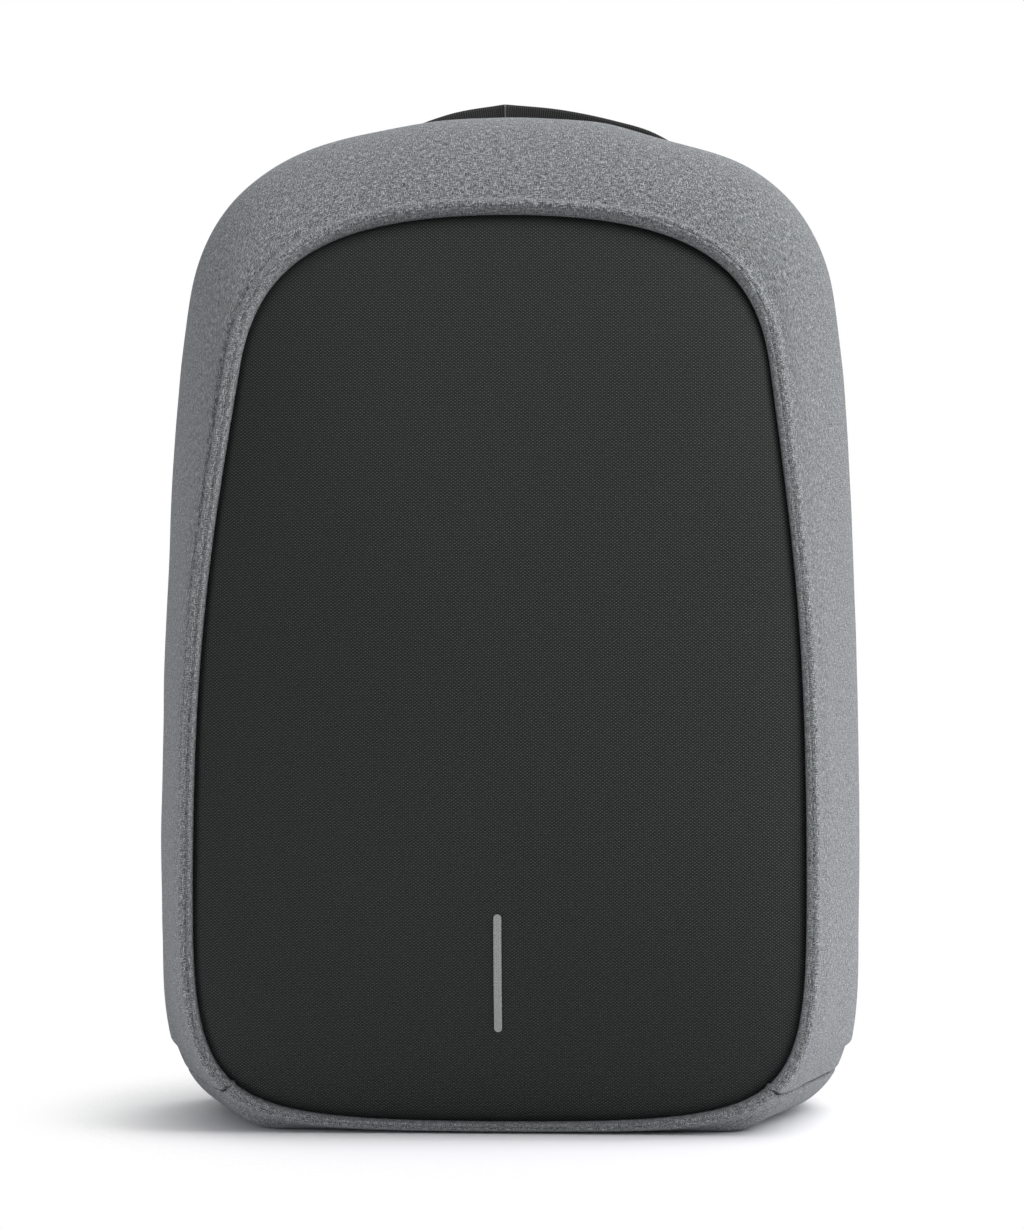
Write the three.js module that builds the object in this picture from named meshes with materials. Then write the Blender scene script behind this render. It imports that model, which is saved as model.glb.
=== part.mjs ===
// Anti theft backpack: a grey padded body that stands on its own base, a domed black front panel
// set inside a rolled rim, and behind it a padded back with a zip all round, a carrying handle
// and two shoulder straps. X is to the right, Y to the back, Z up; millimetres.
import * as THREE from 'three';

// Body, measured over the grey fabric.
const BODY_WIDTH = 312.4;
const BODY_HEIGHT = 443;
const BAG_DEPTH = 137; // from the rim to the back edge, at the widest
const TOP_DEPTH = 56; // the same at the top, where the front leans back
const BACK_EDGE_Y = 58;
const LEAN_START = 90; // height above which the front leans back
const LEAN_END = 405; // height at which TOP_DEPTH is reached
const LEAN_POWER = 1.9; // higher keeps the front upright further up
const LOW_TUCK = 19; // how far the front draws back above the floor
const FLAT_BASE = 224; // width of the flat underside
const WALL = 4; // padded fabric
const SEAM_SHARE = 0.205; // of the way from the bottom centre to the top centre
const SEAM_SWEEP = 0.02; // how much higher than that the seam lies at the back
const SWEEP_REACH = 0.07; // share of the outline over which the sweep fades out

// Front panel and the rim that holds it.
const SIDE_FLARE = 23.2; // from the panel's edge out to the body's side
const TOP_RISE = 43.3; // from the panel's edge up to the crown
const BASE_BAND = 4.4; // from the panel's edge down to the floor
const PANEL_BULGE = 12.5;
const PANEL_SHELL = 3;
const PANEL_MIDDLE = 0.43; // share of the panel's height where its bulge is deepest
const PANEL_SET_BACK = 2.2; // how deep the panel's edge lies behind the rim
const RIM_WIDTH = 7.5;
const RIM_DEPTH = 6.5;

// Reflective strip on the panel.
const STRIP_WIDTH = 3.4;
const STRIP_LENGTH = 51.8;
const STRIP_BOTTOM = 46.7;
const STRIP_THICK = 0.5;

// Back: border ring, zip, panel and pad.
const BORDER_DEPTH = 8;
const BORDER_WIDTH = 6.5;
const ZIP_WIDTH = 6;
const ZIP_THICK = 2.2;
const ZIP_END_THICK = 5.4; // the zip's ends stand proud above the base corners
const ZIP_END_SHARE = 0.22;
const BACK_PLATE = 6;
const PAD_THICK = 10;
const PAD_HALF = 104;
const PAD_INSET = 16; // from the back panel's edge
const PAD_BOTTOM = 26;
const PAD_BELOW_TOP = 80; // from the body's crown down to the pad
const PAD_CORNER = 24;

// Carrying handle: flat webbing that stands on edge over the back.
const HANDLE_WIDTH = 20;
const HANDLE_THICK = 2.4;
const HANDLE_SPAN = 180;
const HANDLE_RISE = 7; // how far it stands above the body's crown
const HANDLE_FALL = 46; // from its middle down to its ends
const HANDLE_FOLD_X = -4; // the fold at its middle

// Shoulder straps, with an adjuster and webbing at the end of each.
const STRAP_WIDTH = 60;
const STRAP_THICK = 9;
const STRAP_ROOT_X = 52;
const STRAP_BELOW_TOP = 72; // from the body's crown down to its root's foot
const STRAP_DROP = 204; // from the root's foot to the padded end
const STRAP_REACH = 46; // how far it bows out behind the back panel
const STRAP_SPREAD = 38; // how far it drifts outwards on its way down
const WEBBING_WIDTH = 25;
const WEBBING_THICK = 2;
const ANCHOR_INSET = 34.2; // from the body's widest line in to the webbing's sewn end
const ANCHOR_Z = 42;
const TAIL_LENGTH = 78;
const TAIL_LEAN = 3; // how far the tail's end hangs towards the back panel
const BAR = 4.5; // one of the adjuster's three bars
const BAR_THICK = 3.4;
const SLOT = 9.4;
const SLOT_PLAY = 1; // beside the webbing in a slot
const ADJUSTER_SIDE = 5;
const ADJUSTER_CORNER = 3;
const ADJUSTER_DROP = 12; // from the padded end down to the top bar
const TAB_RETURN = 8; // how far the strap's tab comes back up under the padding

const CLEAR = 0.3; // between pieces that touch

// Resolution of the faceted solids: stations up to a share of the way to the top, closer at the
// low corners.
const FOOT_STATIONS = { to: 0.11, steps: 3 };
const LOW_STATIONS = { to: SEAM_SHARE, steps: 5 };
const CORNER_STATIONS = { to: 0.34, steps: 7 };
const SIDE_STATIONS = { to: 1, steps: 24 };
const STRAP_STEPS = 26;

const mix = THREE.MathUtils.lerp;

const MATERIALS = {
  heather: { color: 0x7d8285, roughness: 0.95, metalness: 0 },
  panel: { color: 0x2b2f2e, roughness: 0.6, metalness: 0 },
  reflective: { color: 0x919191, roughness: 0.4, metalness: 0.2 },
  black_fabric: { color: 0x1c1d1e, roughness: 0.9, metalness: 0 },
  mesh_fabric: { color: 0x202123, roughness: 0.95, metalness: 0 },
  webbing: { color: 0x19191a, roughness: 0.8, metalness: 0 },
  plastic: { color: 0x141415, roughness: 0.45, metalness: 0 },
  zip: { color: 0x161617, roughness: 0.6, metalness: 0 },
};

// A named mesh from points and triangles, turned so that its faces point out.
function solid(name, finish, points, triangles) {
  const volume = triangles.reduce((sum, [a, b, c]) => (
    sum + points[a].dot(new THREE.Vector3().crossVectors(points[b], points[c]))), 0);
  const turned = volume < 0 ? triangles.map(([a, b, c]) => [a, c, b]) : triangles;
  const geometry = new THREE.BufferGeometry().setFromPoints(points);
  geometry.setIndex(turned.flat());
  geometry.computeVertexNormals();
  const mesh = new THREE.Mesh(geometry, new THREE.MeshStandardMaterial(MATERIALS[finish]));
  mesh.name = name;
  return mesh;
}

// Two triangles for each pair of neighbours on two rings of the same length.
function bridge(first, second, count) {
  const faces = [];
  for (let i = 0; i < count; i += 1) {
    const next = (i + 1) % count;
    faces.push([first + i, first + next, second + i], [first + next, second + next, second + i]);
  }
  return faces;
}

// Closes a section that runs along one face and back along the other: its first half is joined
// to its second, turned over at the far end.
function cap(start, count, far) {
  const faces = [];
  for (let i = 0; i < count / 2 - 1; i += 1) {
    const [a, b] = [start + i, start + i + 1];
    const [c, d] = [start + count - 2 - i, start + count - 1 - i];
    if (far) faces.push([a, b, c], [a, c, d]);
    else faces.push([a, c, b], [a, d, c]);
  }
  return faces;
}

// A solid through sections of equal length, each as cap takes it, or round a closed loop of them.
function loft(name, finish, sections, closedLoop = false) {
  const count = sections[0].length;
  const last = (sections.length - 1) * count;
  const faces = [];
  for (let start = 0; start < last; start += count) {
    faces.push(...bridge(start, start + count, count));
  }
  if (closedLoop) faces.push(...bridge(last, 0, count));
  else faces.push(...cap(0, count, false), ...cap(last, count, true));
  return solid(name, finish, sections.flat(), faces);
}

// A solid from one pole through rings to the other pole.
function spindle(name, finish, firstPole, rings, lastPole) {
  const count = rings[0].length;
  const points = [firstPole, ...rings.flat(), lastPole];
  const faces = [];
  for (let i = 0; i < count; i += 1) {
    const next = (i + 1) % count;
    faces.push([0, 1 + next, 1 + i]);
    const last = 1 + (rings.length - 1) * count;
    faces.push([points.length - 1, last + i, last + next]);
  }
  for (let k = 0; k + 1 < rings.length; k += 1) {
    faces.push(...bridge(1 + k * count, 1 + (k + 1) * count, count));
  }
  return solid(name, finish, points, faces);
}

// Half outline seen from the front, from the bottom centre round the right side to the top
// centre: a flat foot, a low corner, a side that draws in, and a round shoulder.
const WIDEST = 0.2485; // height share of the widest line
function halfOutline({ half, bottom, top, foot, low, side }) {
  const rise = top - bottom;
  const widestZ = bottom + WIDEST * rise;
  const run = top - widestZ;
  const shoulder = new THREE.Vector2(half * side.x, widestZ + run * side.z);
  const lean = new THREE.Vector2(-Math.sin(side.lean), Math.cos(side.lean)).multiplyScalar(run);
  const path = new THREE.Path();
  path.moveTo(0, bottom);
  if (foot > 0) path.lineTo(foot, bottom);
  path.bezierCurveTo(
    mix(foot, half, low.along), bottom, half, mix(widestZ, bottom, low.down), half, widestZ);
  path.bezierCurveTo(
    half, widestZ + side.rise * run,
    shoulder.x - side.meet * lean.x, shoulder.y - side.meet * lean.y, shoulder.x, shoulder.y);
  path.bezierCurveTo(
    shoulder.x + side.leave * lean.x, shoulder.y + side.leave * lean.y,
    side.crown * half, top, 0, top);
  return path;
}

const bodyOutline = halfOutline({
  half: BODY_WIDTH / 2, bottom: 0, top: BODY_HEIGHT, foot: FLAT_BASE / 2,
  low: { along: 0.89, down: 0.73 },
  side: { x: 0.918, z: 0.774, lean: 0.196, rise: 0.199, meet: 0.145, leave: 0.164, crown: 0.528 },
});
const panelOutline = halfOutline({
  half: BODY_WIDTH / 2 - SIDE_FLARE, bottom: BASE_BAND, top: BODY_HEIGHT - TOP_RISE, foot: 0,
  low: { along: 0.943, down: 0.925 },
  side: { x: 0.875, z: 0.776, lean: 0.136, rise: 0.37, meet: 0.283, leave: 0.143, crown: 0.64 },
});

// Depth of the rim at a height: upright low down, leaning back towards the top.
function rimY(z) {
  const front = BACK_EDGE_Y - BAG_DEPTH;
  if (z < LEAN_START) return front + LOW_TUCK * ((LEAN_START - z) / LEAN_START) ** 2;
  const share = (z - LEAN_START) / (LEAN_END - LEAN_START);
  return front + (BAG_DEPTH - TOP_DEPTH) * share ** LEAN_POWER;
}

// One station of the body: where it leaves the panel's edge and where it reaches the widest
// outline, for a share of the way up from the bottom centre, on the right or the left.
function station(share, hand) {
  const step = 0.002;
  const sweep = SEAM_SWEEP * Math.exp(-(((share - SEAM_SHARE) / SWEEP_REACH) ** 2));
  const fromFoot = Math.min(1, share / (SEAM_SHARE / 2));
  const inner = panelOutline.getPoint(share);
  const outer = bodyOutline.getPoint(share + sweep * fromFoot);
  const ahead = panelOutline.getPoint(Math.min(1, share + step));
  const behind = panelOutline.getPoint(Math.max(0, share - step));
  const along = ahead.sub(behind).normalize();
  const normal = new THREE.Vector2(along.y, -along.x);
  // Where the gusset is short the rim is narrower.
  const length = outer.clone().sub(inner).dot(normal);
  const rim = RIM_WIDTH * length / (length + 0.4 * RIM_WIDTH);
  const rimEdge = inner.clone().addScaledVector(normal, rim);
  const place = (p, y) => new THREE.Vector3(hand * p.x, y, p.y);
  return {
    rim,
    front: rimY(inner.y),
    // A point at a distance out from the panel's edge.
    at: (out, y) => place(inner.clone().addScaledVector(normal, out), y),
    // A point between the rim and the widest outline, by shares across and up or down, moved
    // out or in square to the panel's edge.
    between: (row, out, y) => {
      const vertical = outer.y > rimEdge.y ? row.top : row.bottom;
      const p = new THREE.Vector2(
        mix(rimEdge.x, outer.x, row.side), mix(rimEdge.y, outer.y, vertical));
      return place(p.addScaledVector(normal, out), y);
    },
    // How far out such a point lies from the panel's edge.
    outAt: (row) => {
      const vertical = outer.y > rimEdge.y ? row.top : row.bottom;
      return rim + (outer.x - rimEdge.x) * row.side * normal.x
        + (outer.y - rimEdge.y) * vertical * normal.y;
    },
  };
}

// Shares of the way up for the base and for the side wall, and the stations at such shares,
// taken up the right side and down the left. Neighbouring pieces use the same shares, so their
// facets lie side by side.
function sharesOver(from, stretches) {
  const shares = [from];
  for (const { to, steps } of stretches) {
    const start = shares.at(-1);
    for (let i = 1; i <= steps; i += 1) shares.push(mix(start, to, i / steps));
  }
  return shares;
}
const BASE_SHARES = sharesOver(0, [FOOT_STATIONS, LOW_STATIONS]);
const WALL_SHARES = sharesOver(SEAM_SHARE, [CORNER_STATIONS, SIDE_STATIONS]);

function overTheTop(shares) {
  const right = shares.map((share) => station(share, 1));
  const left = shares.slice(0, -1).reverse().map((share) => station(share, -1));
  return [...right, ...left];
}

function underTheBase(shares) {
  const left = shares.slice(1).reverse().map((share) => station(share, -1));
  return [...left, ...shares.map((share) => station(share, 1))];
}

function wholeLoop() {
  return overTheTop([...BASE_SHARES, ...WALL_SHARES.slice(1)]).slice(0, -1);
}

// Rolled rim: shares of its width outwards and of its depth back, on its face and behind it.
const RIM_ROWS = [
  { out: 0.0, deep: 0.42, backOut: 0.0, backDeep: 1.0 },
  { out: 0.26, deep: 0.12, backOut: 0.14, backDeep: 1.0 },
  { out: 0.56, deep: 0.0, backOut: 0.28, backDeep: 1.02 },
  { out: 0.84, deep: 0.08, backOut: 0.42, backDeep: 1.08 },
  { out: 1.0, deep: 0.34, backOut: 0.56, backDeep: 1.2 },
];

// Gusset: share of the depth from the rim to the back edge, and shares of the way from the rim
// to the widest outline, sideways, up on the top and down on the underside.
const GUSSET_ROWS = [
  { deep: 0.11, side: 0.16, top: 0.27, bottom: 1 },
  { deep: 0.26, side: 0.4, top: 0.62, bottom: 1 },
  { deep: 0.43, side: 0.66, top: 0.88, bottom: 1 },
  { deep: 0.62, side: 0.9, top: 1.0, bottom: 1 },
  { deep: 0.78, side: 1.0, top: 0.97, bottom: 1 },
  { deep: 0.9, side: 0.99, top: 0.8, bottom: 1 },
  { deep: 0.97, side: 0.92, top: 0.52, bottom: 1 },
  { deep: 1.0, side: 0.84, top: 0.25, bottom: 1 },
];
const BACK_EDGE = GUSSET_ROWS.at(-1);

// The padded wall's section at one station: outer face from the lip to the back, inner face home.
function wallSection(st) {
  const face = RIM_ROWS.map((row) => (
    [CLEAR + row.out * (st.rim - CLEAR), st.front + row.deep * RIM_DEPTH]));
  const behind = RIM_ROWS.map((row) => (
    [CLEAR + row.backOut * Math.max(0, st.rim - WALL), st.front + row.backDeep * RIM_DEPTH]));
  const outer = face.map(([out, y]) => st.at(out, y));
  const inner = behind.map(([out, y]) => st.at(out, y));
  const line = GUSSET_ROWS.map((row) => [st.outAt(row), mix(st.front, BACK_EDGE_Y, row.deep)]);
  GUSSET_ROWS.forEach((row, i) => {
    const before = i === 0 ? face.at(-1) : line[i - 1];
    const after = line[i + 1] ?? line[i];
    const run = Math.hypot(after[0] - before[0], after[1] - before[1]);
    const [outward, back] = [(after[0] - before[0]) / run, (after[1] - before[1]) / run];
    outer.push(st.between(row, 0, line[i][1]));
    inner.push(st.between(row, -WALL * back, line[i][1] + WALL * outward));
  });
  return [...outer, ...inner.reverse()];
}

// Half of the clearance at the seam between side wall and base, as a share of the outline.
const SEAM_HALF = CLEAR / 2 / panelOutline.getLength();

function sideWall() {
  const shares = [SEAM_SHARE + SEAM_HALF, ...WALL_SHARES.slice(1)];
  const sections = overTheTop(shares).map(wallSection);
  return loft('side_wall', 'heather', sections);
}

function basePanel() {
  const shares = [...BASE_SHARES.slice(0, -1), SEAM_SHARE - SEAM_HALF];
  const sections = underTheBase(shares).map(wallSection);
  return loft('base_panel', 'heather', sections);
}

// Front panel: a shell in rings round its middle. Its face is the rim's depth with a bulge.
const panelMiddle = new THREE.Vector2(0, mix(BASE_BAND, BODY_HEIGHT - TOP_RISE, PANEL_MIDDLE));

// Share of the way from the panel's middle to its edge, for a point on it.
function panelShare(x, z) {
  const target = Math.atan2(Math.abs(x), z - panelMiddle.y);
  const steps = 200;
  const distance = Math.hypot(x, z - panelMiddle.y);
  let best = panelOutline.getPoint(0);
  let bestGap = Infinity;
  for (let i = 0; i <= steps; i += 1) {
    const p = panelOutline.getPoint(i / steps);
    const gap = Math.abs(Math.atan2(p.x, p.y - panelMiddle.y) - target);
    if (gap < bestGap) {
      bestGap = gap;
      best = p;
    }
  }
  return distance / best.distanceTo(panelMiddle);
}

function panelY(z, share) {
  const bulge = PANEL_BULGE * Math.max(0, 1 - share ** 2) ** 0.75;
  return rimY(z) + PANEL_SET_BACK * share ** 12 - bulge;
}

function frontPanel() {
  const edge = wholeLoop();
  const ring = (share, setBack) => edge.map((st) => {
    const p = st.at(0, 0);
    const x = p.x * share;
    const z = mix(panelMiddle.y, p.z, share);
    return new THREE.Vector3(x, panelY(z, share) + setBack, z);
  });
  const face = [0.25, 0.5, 0.7, 0.85, 0.94, 0.985, 1].map((share) => ring(share, 0));
  const lip = ring(1, RIM_DEPTH - PANEL_SET_BACK);
  const inside = [0.965, 0.8, 0.45].map((share) => ring(share, PANEL_SHELL + 0.6 * share));
  const middleY = panelY(panelMiddle.y, 0);
  return spindle(
    'front_panel', 'panel',
    new THREE.Vector3(0, middleY, panelMiddle.y),
    [...face, lip, ...inside],
    new THREE.Vector3(0, middleY + PANEL_SHELL, panelMiddle.y));
}

// Reflective strip: a flat bar with round ends that follows the panel's face.
function reflectiveStrip() {
  const radius = STRIP_WIDTH / 2;
  const ends = [0.02, 0.3, 1];
  const heights = [
    ...ends.map((e) => e * radius),
    ...[0.25, 0.5, 0.75].map((s) => s * STRIP_LENGTH),
    ...ends.map((e) => STRIP_LENGTH - e * radius).reverse(),
  ];
  const sections = heights.map((h) => {
    const fromEnd = Math.min(h, STRIP_LENGTH - h, radius);
    const half = Math.sqrt(radius ** 2 - (radius - fromEnd) ** 2);
    const z = STRIP_BOTTOM + h;
    const back = panelY(z, panelShare(0, z)) - CLEAR;
    return [
      new THREE.Vector3(-half, back - STRIP_THICK, z), new THREE.Vector3(half, back - STRIP_THICK, z),
      new THREE.Vector3(half, back, z), new THREE.Vector3(-half, back, z),
    ];
  });
  return loft('reflective_strip', 'reflective', sections);
}

// Border: a black bound ring behind the gusset, all round the back.
function backBorder() {
  const front = BACK_EDGE_Y + CLEAR;
  const back = BACK_EDGE_Y + BORDER_DEPTH;
  const sections = wholeLoop().map((st) => {
    const corner = (inset, y) => st.between(BACK_EDGE, -CLEAR - inset * BORDER_WIDTH, y);
    return [
      corner(0, front), corner(0.12, mix(front, back, 0.6)), corner(0.42, back),
      corner(1, back), corner(1, mix(front, back, 0.6)), corner(1, front),
    ];
  });
  return loft('back_border', 'black_fabric', sections, true);
}

// Zip: a band over the border, from above one base corner round the top to the other. Its ends
// are thicker, where the tape is turned in.
function zip() {
  const front = BACK_EDGE_Y + CLEAR;
  const back = front + ZIP_WIDTH;
  const all = overTheTop(WALL_SHARES.filter((share) => share >= ZIP_END_SHARE));
  const sections = all.map((st, i) => {
    const fromEnd = Math.min(i, all.length - 1 - i);
    const thick = mix(ZIP_END_THICK, ZIP_THICK, Math.min(1, fromEnd / 4));
    const corner = (out, along) => st.between(BACK_EDGE, out, mix(front, back, along));
    return [
      corner(0, 0), corner(0.8 * thick, 0.12), corner(thick, 0.5), corner(0.5 * thick, 1),
      corner(-0.06 * BORDER_WIDTH, 1), corner(-0.03 * BORDER_WIDTH, 0.6),
      corner(0, 0.4), corner(0, 0.15),
    ];
  });
  return loft('zip', 'zip', sections);
}

// Back panel: a flat plate inside the border.
const PLATE_BACK_Y = BACK_EDGE_Y + BORDER_DEPTH;

function plateEdge(st, y) {
  return st.between(BACK_EDGE, -BORDER_WIDTH - 2 * CLEAR, y);
}

function backPanel() {
  const loop = wholeLoop();
  const front = PLATE_BACK_Y - BACK_PLATE;
  const middleZ = BODY_HEIGHT / 2;
  const ring = (y) => loop.map((st) => plateEdge(st, y));
  return spindle(
    'back_panel', 'black_fabric',
    new THREE.Vector3(0, PLATE_BACK_Y, middleZ),
    [ring(PLATE_BACK_Y), ring(front)],
    new THREE.Vector3(0, front, middleZ));
}

// Half width of the back panel at a height.
function plateHalfAt(z) {
  const steps = 120;
  let last = plateEdge(station(0, 1), 0);
  for (let i = 1; i <= steps; i += 1) {
    const p = plateEdge(station(i / steps, 1), 0);
    if (p.z >= z) return mix(last.x, p.x, (z - last.z) / (p.z - last.z));
    last = p;
  }
  return 0;
}

// Pad on the back panel: two cushions with a channel between them.
const PAD_COLUMNS = [
  { across: 1, thick: 0.12 }, { across: 0.95, thick: 0.62 }, { across: 0.85, thick: 0.92 },
  { across: 0.6, thick: 1 }, { across: 0.3, thick: 0.96 }, { across: 0.17, thick: 0.72 },
  { across: 0.1, thick: 0.36 }, { across: 0, thick: 0.3 },
];
const PAD_TOP = BODY_HEIGHT - PAD_BELOW_TOP;
const PAD_ROWS = [0, 0.02, 0.06, 0.12, 0.22, 0.34, 0.46, 0.58, 0.7, 0.8, 0.88, 0.94, 0.98, 1];

function backPad() {
  const columns = [
    ...PAD_COLUMNS.map((c) => ({ ...c, across: -c.across })),
    ...PAD_COLUMNS.slice(0, -1).reverse(),
  ];
  const face = PLATE_BACK_Y + CLEAR;
  const sections = PAD_ROWS.map((share) => {
    const z = mix(PAD_BOTTOM, PAD_TOP, share);
    const fromEnd = Math.min(z - PAD_BOTTOM, PAD_TOP - z, PAD_CORNER);
    const corner = PAD_CORNER - Math.sqrt(PAD_CORNER ** 2 - (PAD_CORNER - fromEnd) ** 2);
    const half = Math.min(PAD_HALF, plateHalfAt(z) - PAD_INSET) - corner;
    const swell = mix(0.12, 1, Math.min(1, fromEnd / (0.5 * PAD_CORNER)) ** 0.5);
    const back = columns.map((c) => (
      new THREE.Vector3(c.across * half, face + PAD_THICK * Math.min(c.thick, swell), z)));
    const front = columns.map((c) => new THREE.Vector3(c.across * half, face, z)).reverse();
    return [...back, ...front];
  });
  return loft('back_pad', 'mesh_fabric', sections);
}

// Handle: webbing on edge, folded at its middle, its ends sewn to the back panel. The rows give
// the share of the half span out from the fold and of the fall from the fold to the ends.
const HANDLE_ROWS = [
  { out: 0.0, left: 0.0, right: 0.0 },
  { out: 0.25, left: 0.08, right: 0.05 },
  { out: 0.5, left: 0.25, right: 0.155 },
  { out: 0.68, left: 0.42, right: 0.27 },
  { out: 0.84, left: 0.63, right: 0.5 },
  { out: 0.93, left: 0.81, right: 0.8 },
  { out: 1.0, left: 1.0, right: 1.0 },
];

function handle() {
  const middle = BODY_HEIGHT + HANDLE_RISE - HANDLE_WIDTH / 2;
  const rowsOn = (hand, side) => HANDLE_ROWS.map((row) => new THREE.Vector2(
    mix(HANDLE_FOLD_X, hand * HANDLE_SPAN / 2, row.out),
    middle - HANDLE_FALL * row[side]));
  const line = [...rowsOn(-1, 'left').reverse(), ...rowsOn(1, 'right').slice(1)];
  const front = PLATE_BACK_Y + CLEAR;
  const sections = line.map((p, i) => {
    const before = line[Math.max(0, i - 1)];
    const after = line[Math.min(line.length - 1, i + 1)];
    const along = after.clone().sub(before).normalize();
    const up = new THREE.Vector2(-along.y, along.x).multiplyScalar(HANDLE_WIDTH / 2);
    return [
      new THREE.Vector3(p.x - up.x, front, p.y - up.y), new THREE.Vector3(p.x + up.x, front, p.y + up.y),
      new THREE.Vector3(p.x + up.x, front + HANDLE_THICK, p.y + up.y),
      new THREE.Vector3(p.x - up.x, front + HANDLE_THICK, p.y - up.y),
    ];
  });
  return loft('handle', 'webbing', sections);
}

// A band that follows a path of { x, y, z, width, thick } and keeps its width along X.
function band(name, finish, path, roundness) {
  const sections = path.map((p, i) => {
    const before = path[Math.max(0, i - 1)];
    const after = path[Math.min(path.length - 1, i + 1)];
    const run = Math.hypot(after.y - before.y, after.z - before.z);
    const off = { y: -(after.z - before.z) / run, z: (after.y - before.y) / run };
    const corner = (across, away) => new THREE.Vector3(
      p.x + across * p.width / 2, p.y + away * off.y * p.thick / 2, p.z + away * off.z * p.thick / 2);
    if (!roundness) return [corner(-1, 1), corner(1, 1), corner(1, -1), corner(-1, -1)];
    const side = 1 - roundness;
    return [
      corner(-1, 0.3), corner(-side, 1), corner(side, 1), corner(1, 0.3),
      corner(1, -0.3), corner(side, -1), corner(-side, -1), corner(-1, -0.3),
    ];
  });
  return loft(name, finish, sections);
}

// Shoulder strap: shares of the drop down from its root, of the bow behind the back panel and of
// the drift outwards, and of its width and thickness.
const STRAP_ROWS = [
  { drop: 0.0, bow: 0.004, drift: 0.0, width: 0.94, thick: 0.8 },
  { drop: -0.07, bow: 0.008, drift: 0.0, width: 0.96, thick: 0.9 },
  { drop: -0.125, bow: 0.13, drift: 0.0, width: 1.0, thick: 1.0 },
  { drop: -0.14, bow: 0.42, drift: 0.0, width: 1.0, thick: 1.0 },
  { drop: -0.08, bow: 0.76, drift: 0.02, width: 1.0, thick: 1.0 },
  { drop: 0.08, bow: 0.96, drift: 0.1, width: 1.0, thick: 1.0 },
  { drop: 0.3, bow: 1.0, drift: 0.28, width: 1.0, thick: 1.0 },
  { drop: 0.55, bow: 0.92, drift: 0.55, width: 0.97, thick: 1.0 },
  { drop: 0.8, bow: 0.77, drift: 0.84, width: 0.9, thick: 0.95 },
  { drop: 0.95, bow: 0.66, drift: 0.97, width: 0.78, thick: 0.85 },
  { drop: 1.0, bow: 0.62, drift: 1.0, width: 0.62, thick: 0.6 },
];

// Frame of the adjuster: its place at the strap's end, its way down and its way out.
const STRAP_ROOT_Z = BODY_HEIGHT - STRAP_BELOW_TOP;
const STRAP_FACE_Y = PLATE_BACK_Y + CLEAR + STRAP_THICK / 2;
const adjusterFrame = (() => {
  const [last, end] = STRAP_ROWS.slice(-2).map((row) => new THREE.Vector2(
    STRAP_FACE_Y + STRAP_REACH * row.bow, STRAP_ROOT_Z - STRAP_DROP * row.drop));
  const down = end.clone().sub(last).normalize();
  const out = new THREE.Vector2(-down.y, down.x);
  const wrap = BAR_THICK / 2 + CLEAR + WEBBING_THICK / 2; // webbing's middle from a bar's middle
  const start = end.clone().addScaledVector(down, ADJUSTER_DROP).addScaledVector(out, -wrap);
  return {
    down, out, wrap,
    at: (along, away) => start.clone().addScaledVector(down, along).addScaledVector(out, away),
    height: 3 * BAR + 2 * SLOT,
  };
})();

// Points round a bar's edge, from one face of the frame to the other.
function turnRound(centre, direction) {
  return [-1, -0.75, -0.5, -0.25, 0, 0.25, 0.5, 0.75, 1].map((s) => {
    const angle = s * Math.PI / 2;
    const { wrap } = adjusterFrame;
    return [centre + direction * wrap * Math.cos(angle), -wrap * Math.sin(angle)];
  });
}

function shoulderStrap(hand, name) {
  const curve = (key) => new THREE.SplineCurve(
    STRAP_ROWS.map((row, i) => new THREE.Vector2(i, key(row))));
  const y = curve((row) => STRAP_FACE_Y + STRAP_REACH * row.bow - (1 - row.thick) * STRAP_THICK / 2);
  const z = curve((row) => STRAP_ROOT_Z - STRAP_DROP * row.drop);
  const x = curve((row) => STRAP_ROOT_X + STRAP_SPREAD * row.drift);
  const width = curve((row) => STRAP_WIDTH * row.width);
  const thick = curve((row) => STRAP_THICK * row.thick);
  const path = Array.from({ length: STRAP_STEPS + 1 }, (_, i) => {
    const t = i / STRAP_STEPS;
    return {
      x: hand * x.getPoint(t).y, y: Math.max(y.getPoint(0).y, y.getPoint(t).y), z: z.getPoint(t).y,
      width: width.getPoint(t).y, thick: thick.getPoint(t).y,
    };
  });
  // A tab of webbing runs on from the padding, round the adjuster's top bar and back up.
  const { at, wrap } = adjusterFrame;
  const tabLine = [[-ADJUSTER_DROP / 4, wrap], ...turnRound(BAR, 1), [-TAB_RETURN, -wrap]];
  const tab = tabLine.map(([along, away]) => {
    const p = at(along, away);
    return {
      x: hand * (STRAP_ROOT_X + STRAP_SPREAD), y: p.x, z: p.y,
      width: WEBBING_WIDTH, thick: WEBBING_THICK,
    };
  });
  return band(name, 'black_fabric', [...path, ...tab], 0.16);
}

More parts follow.
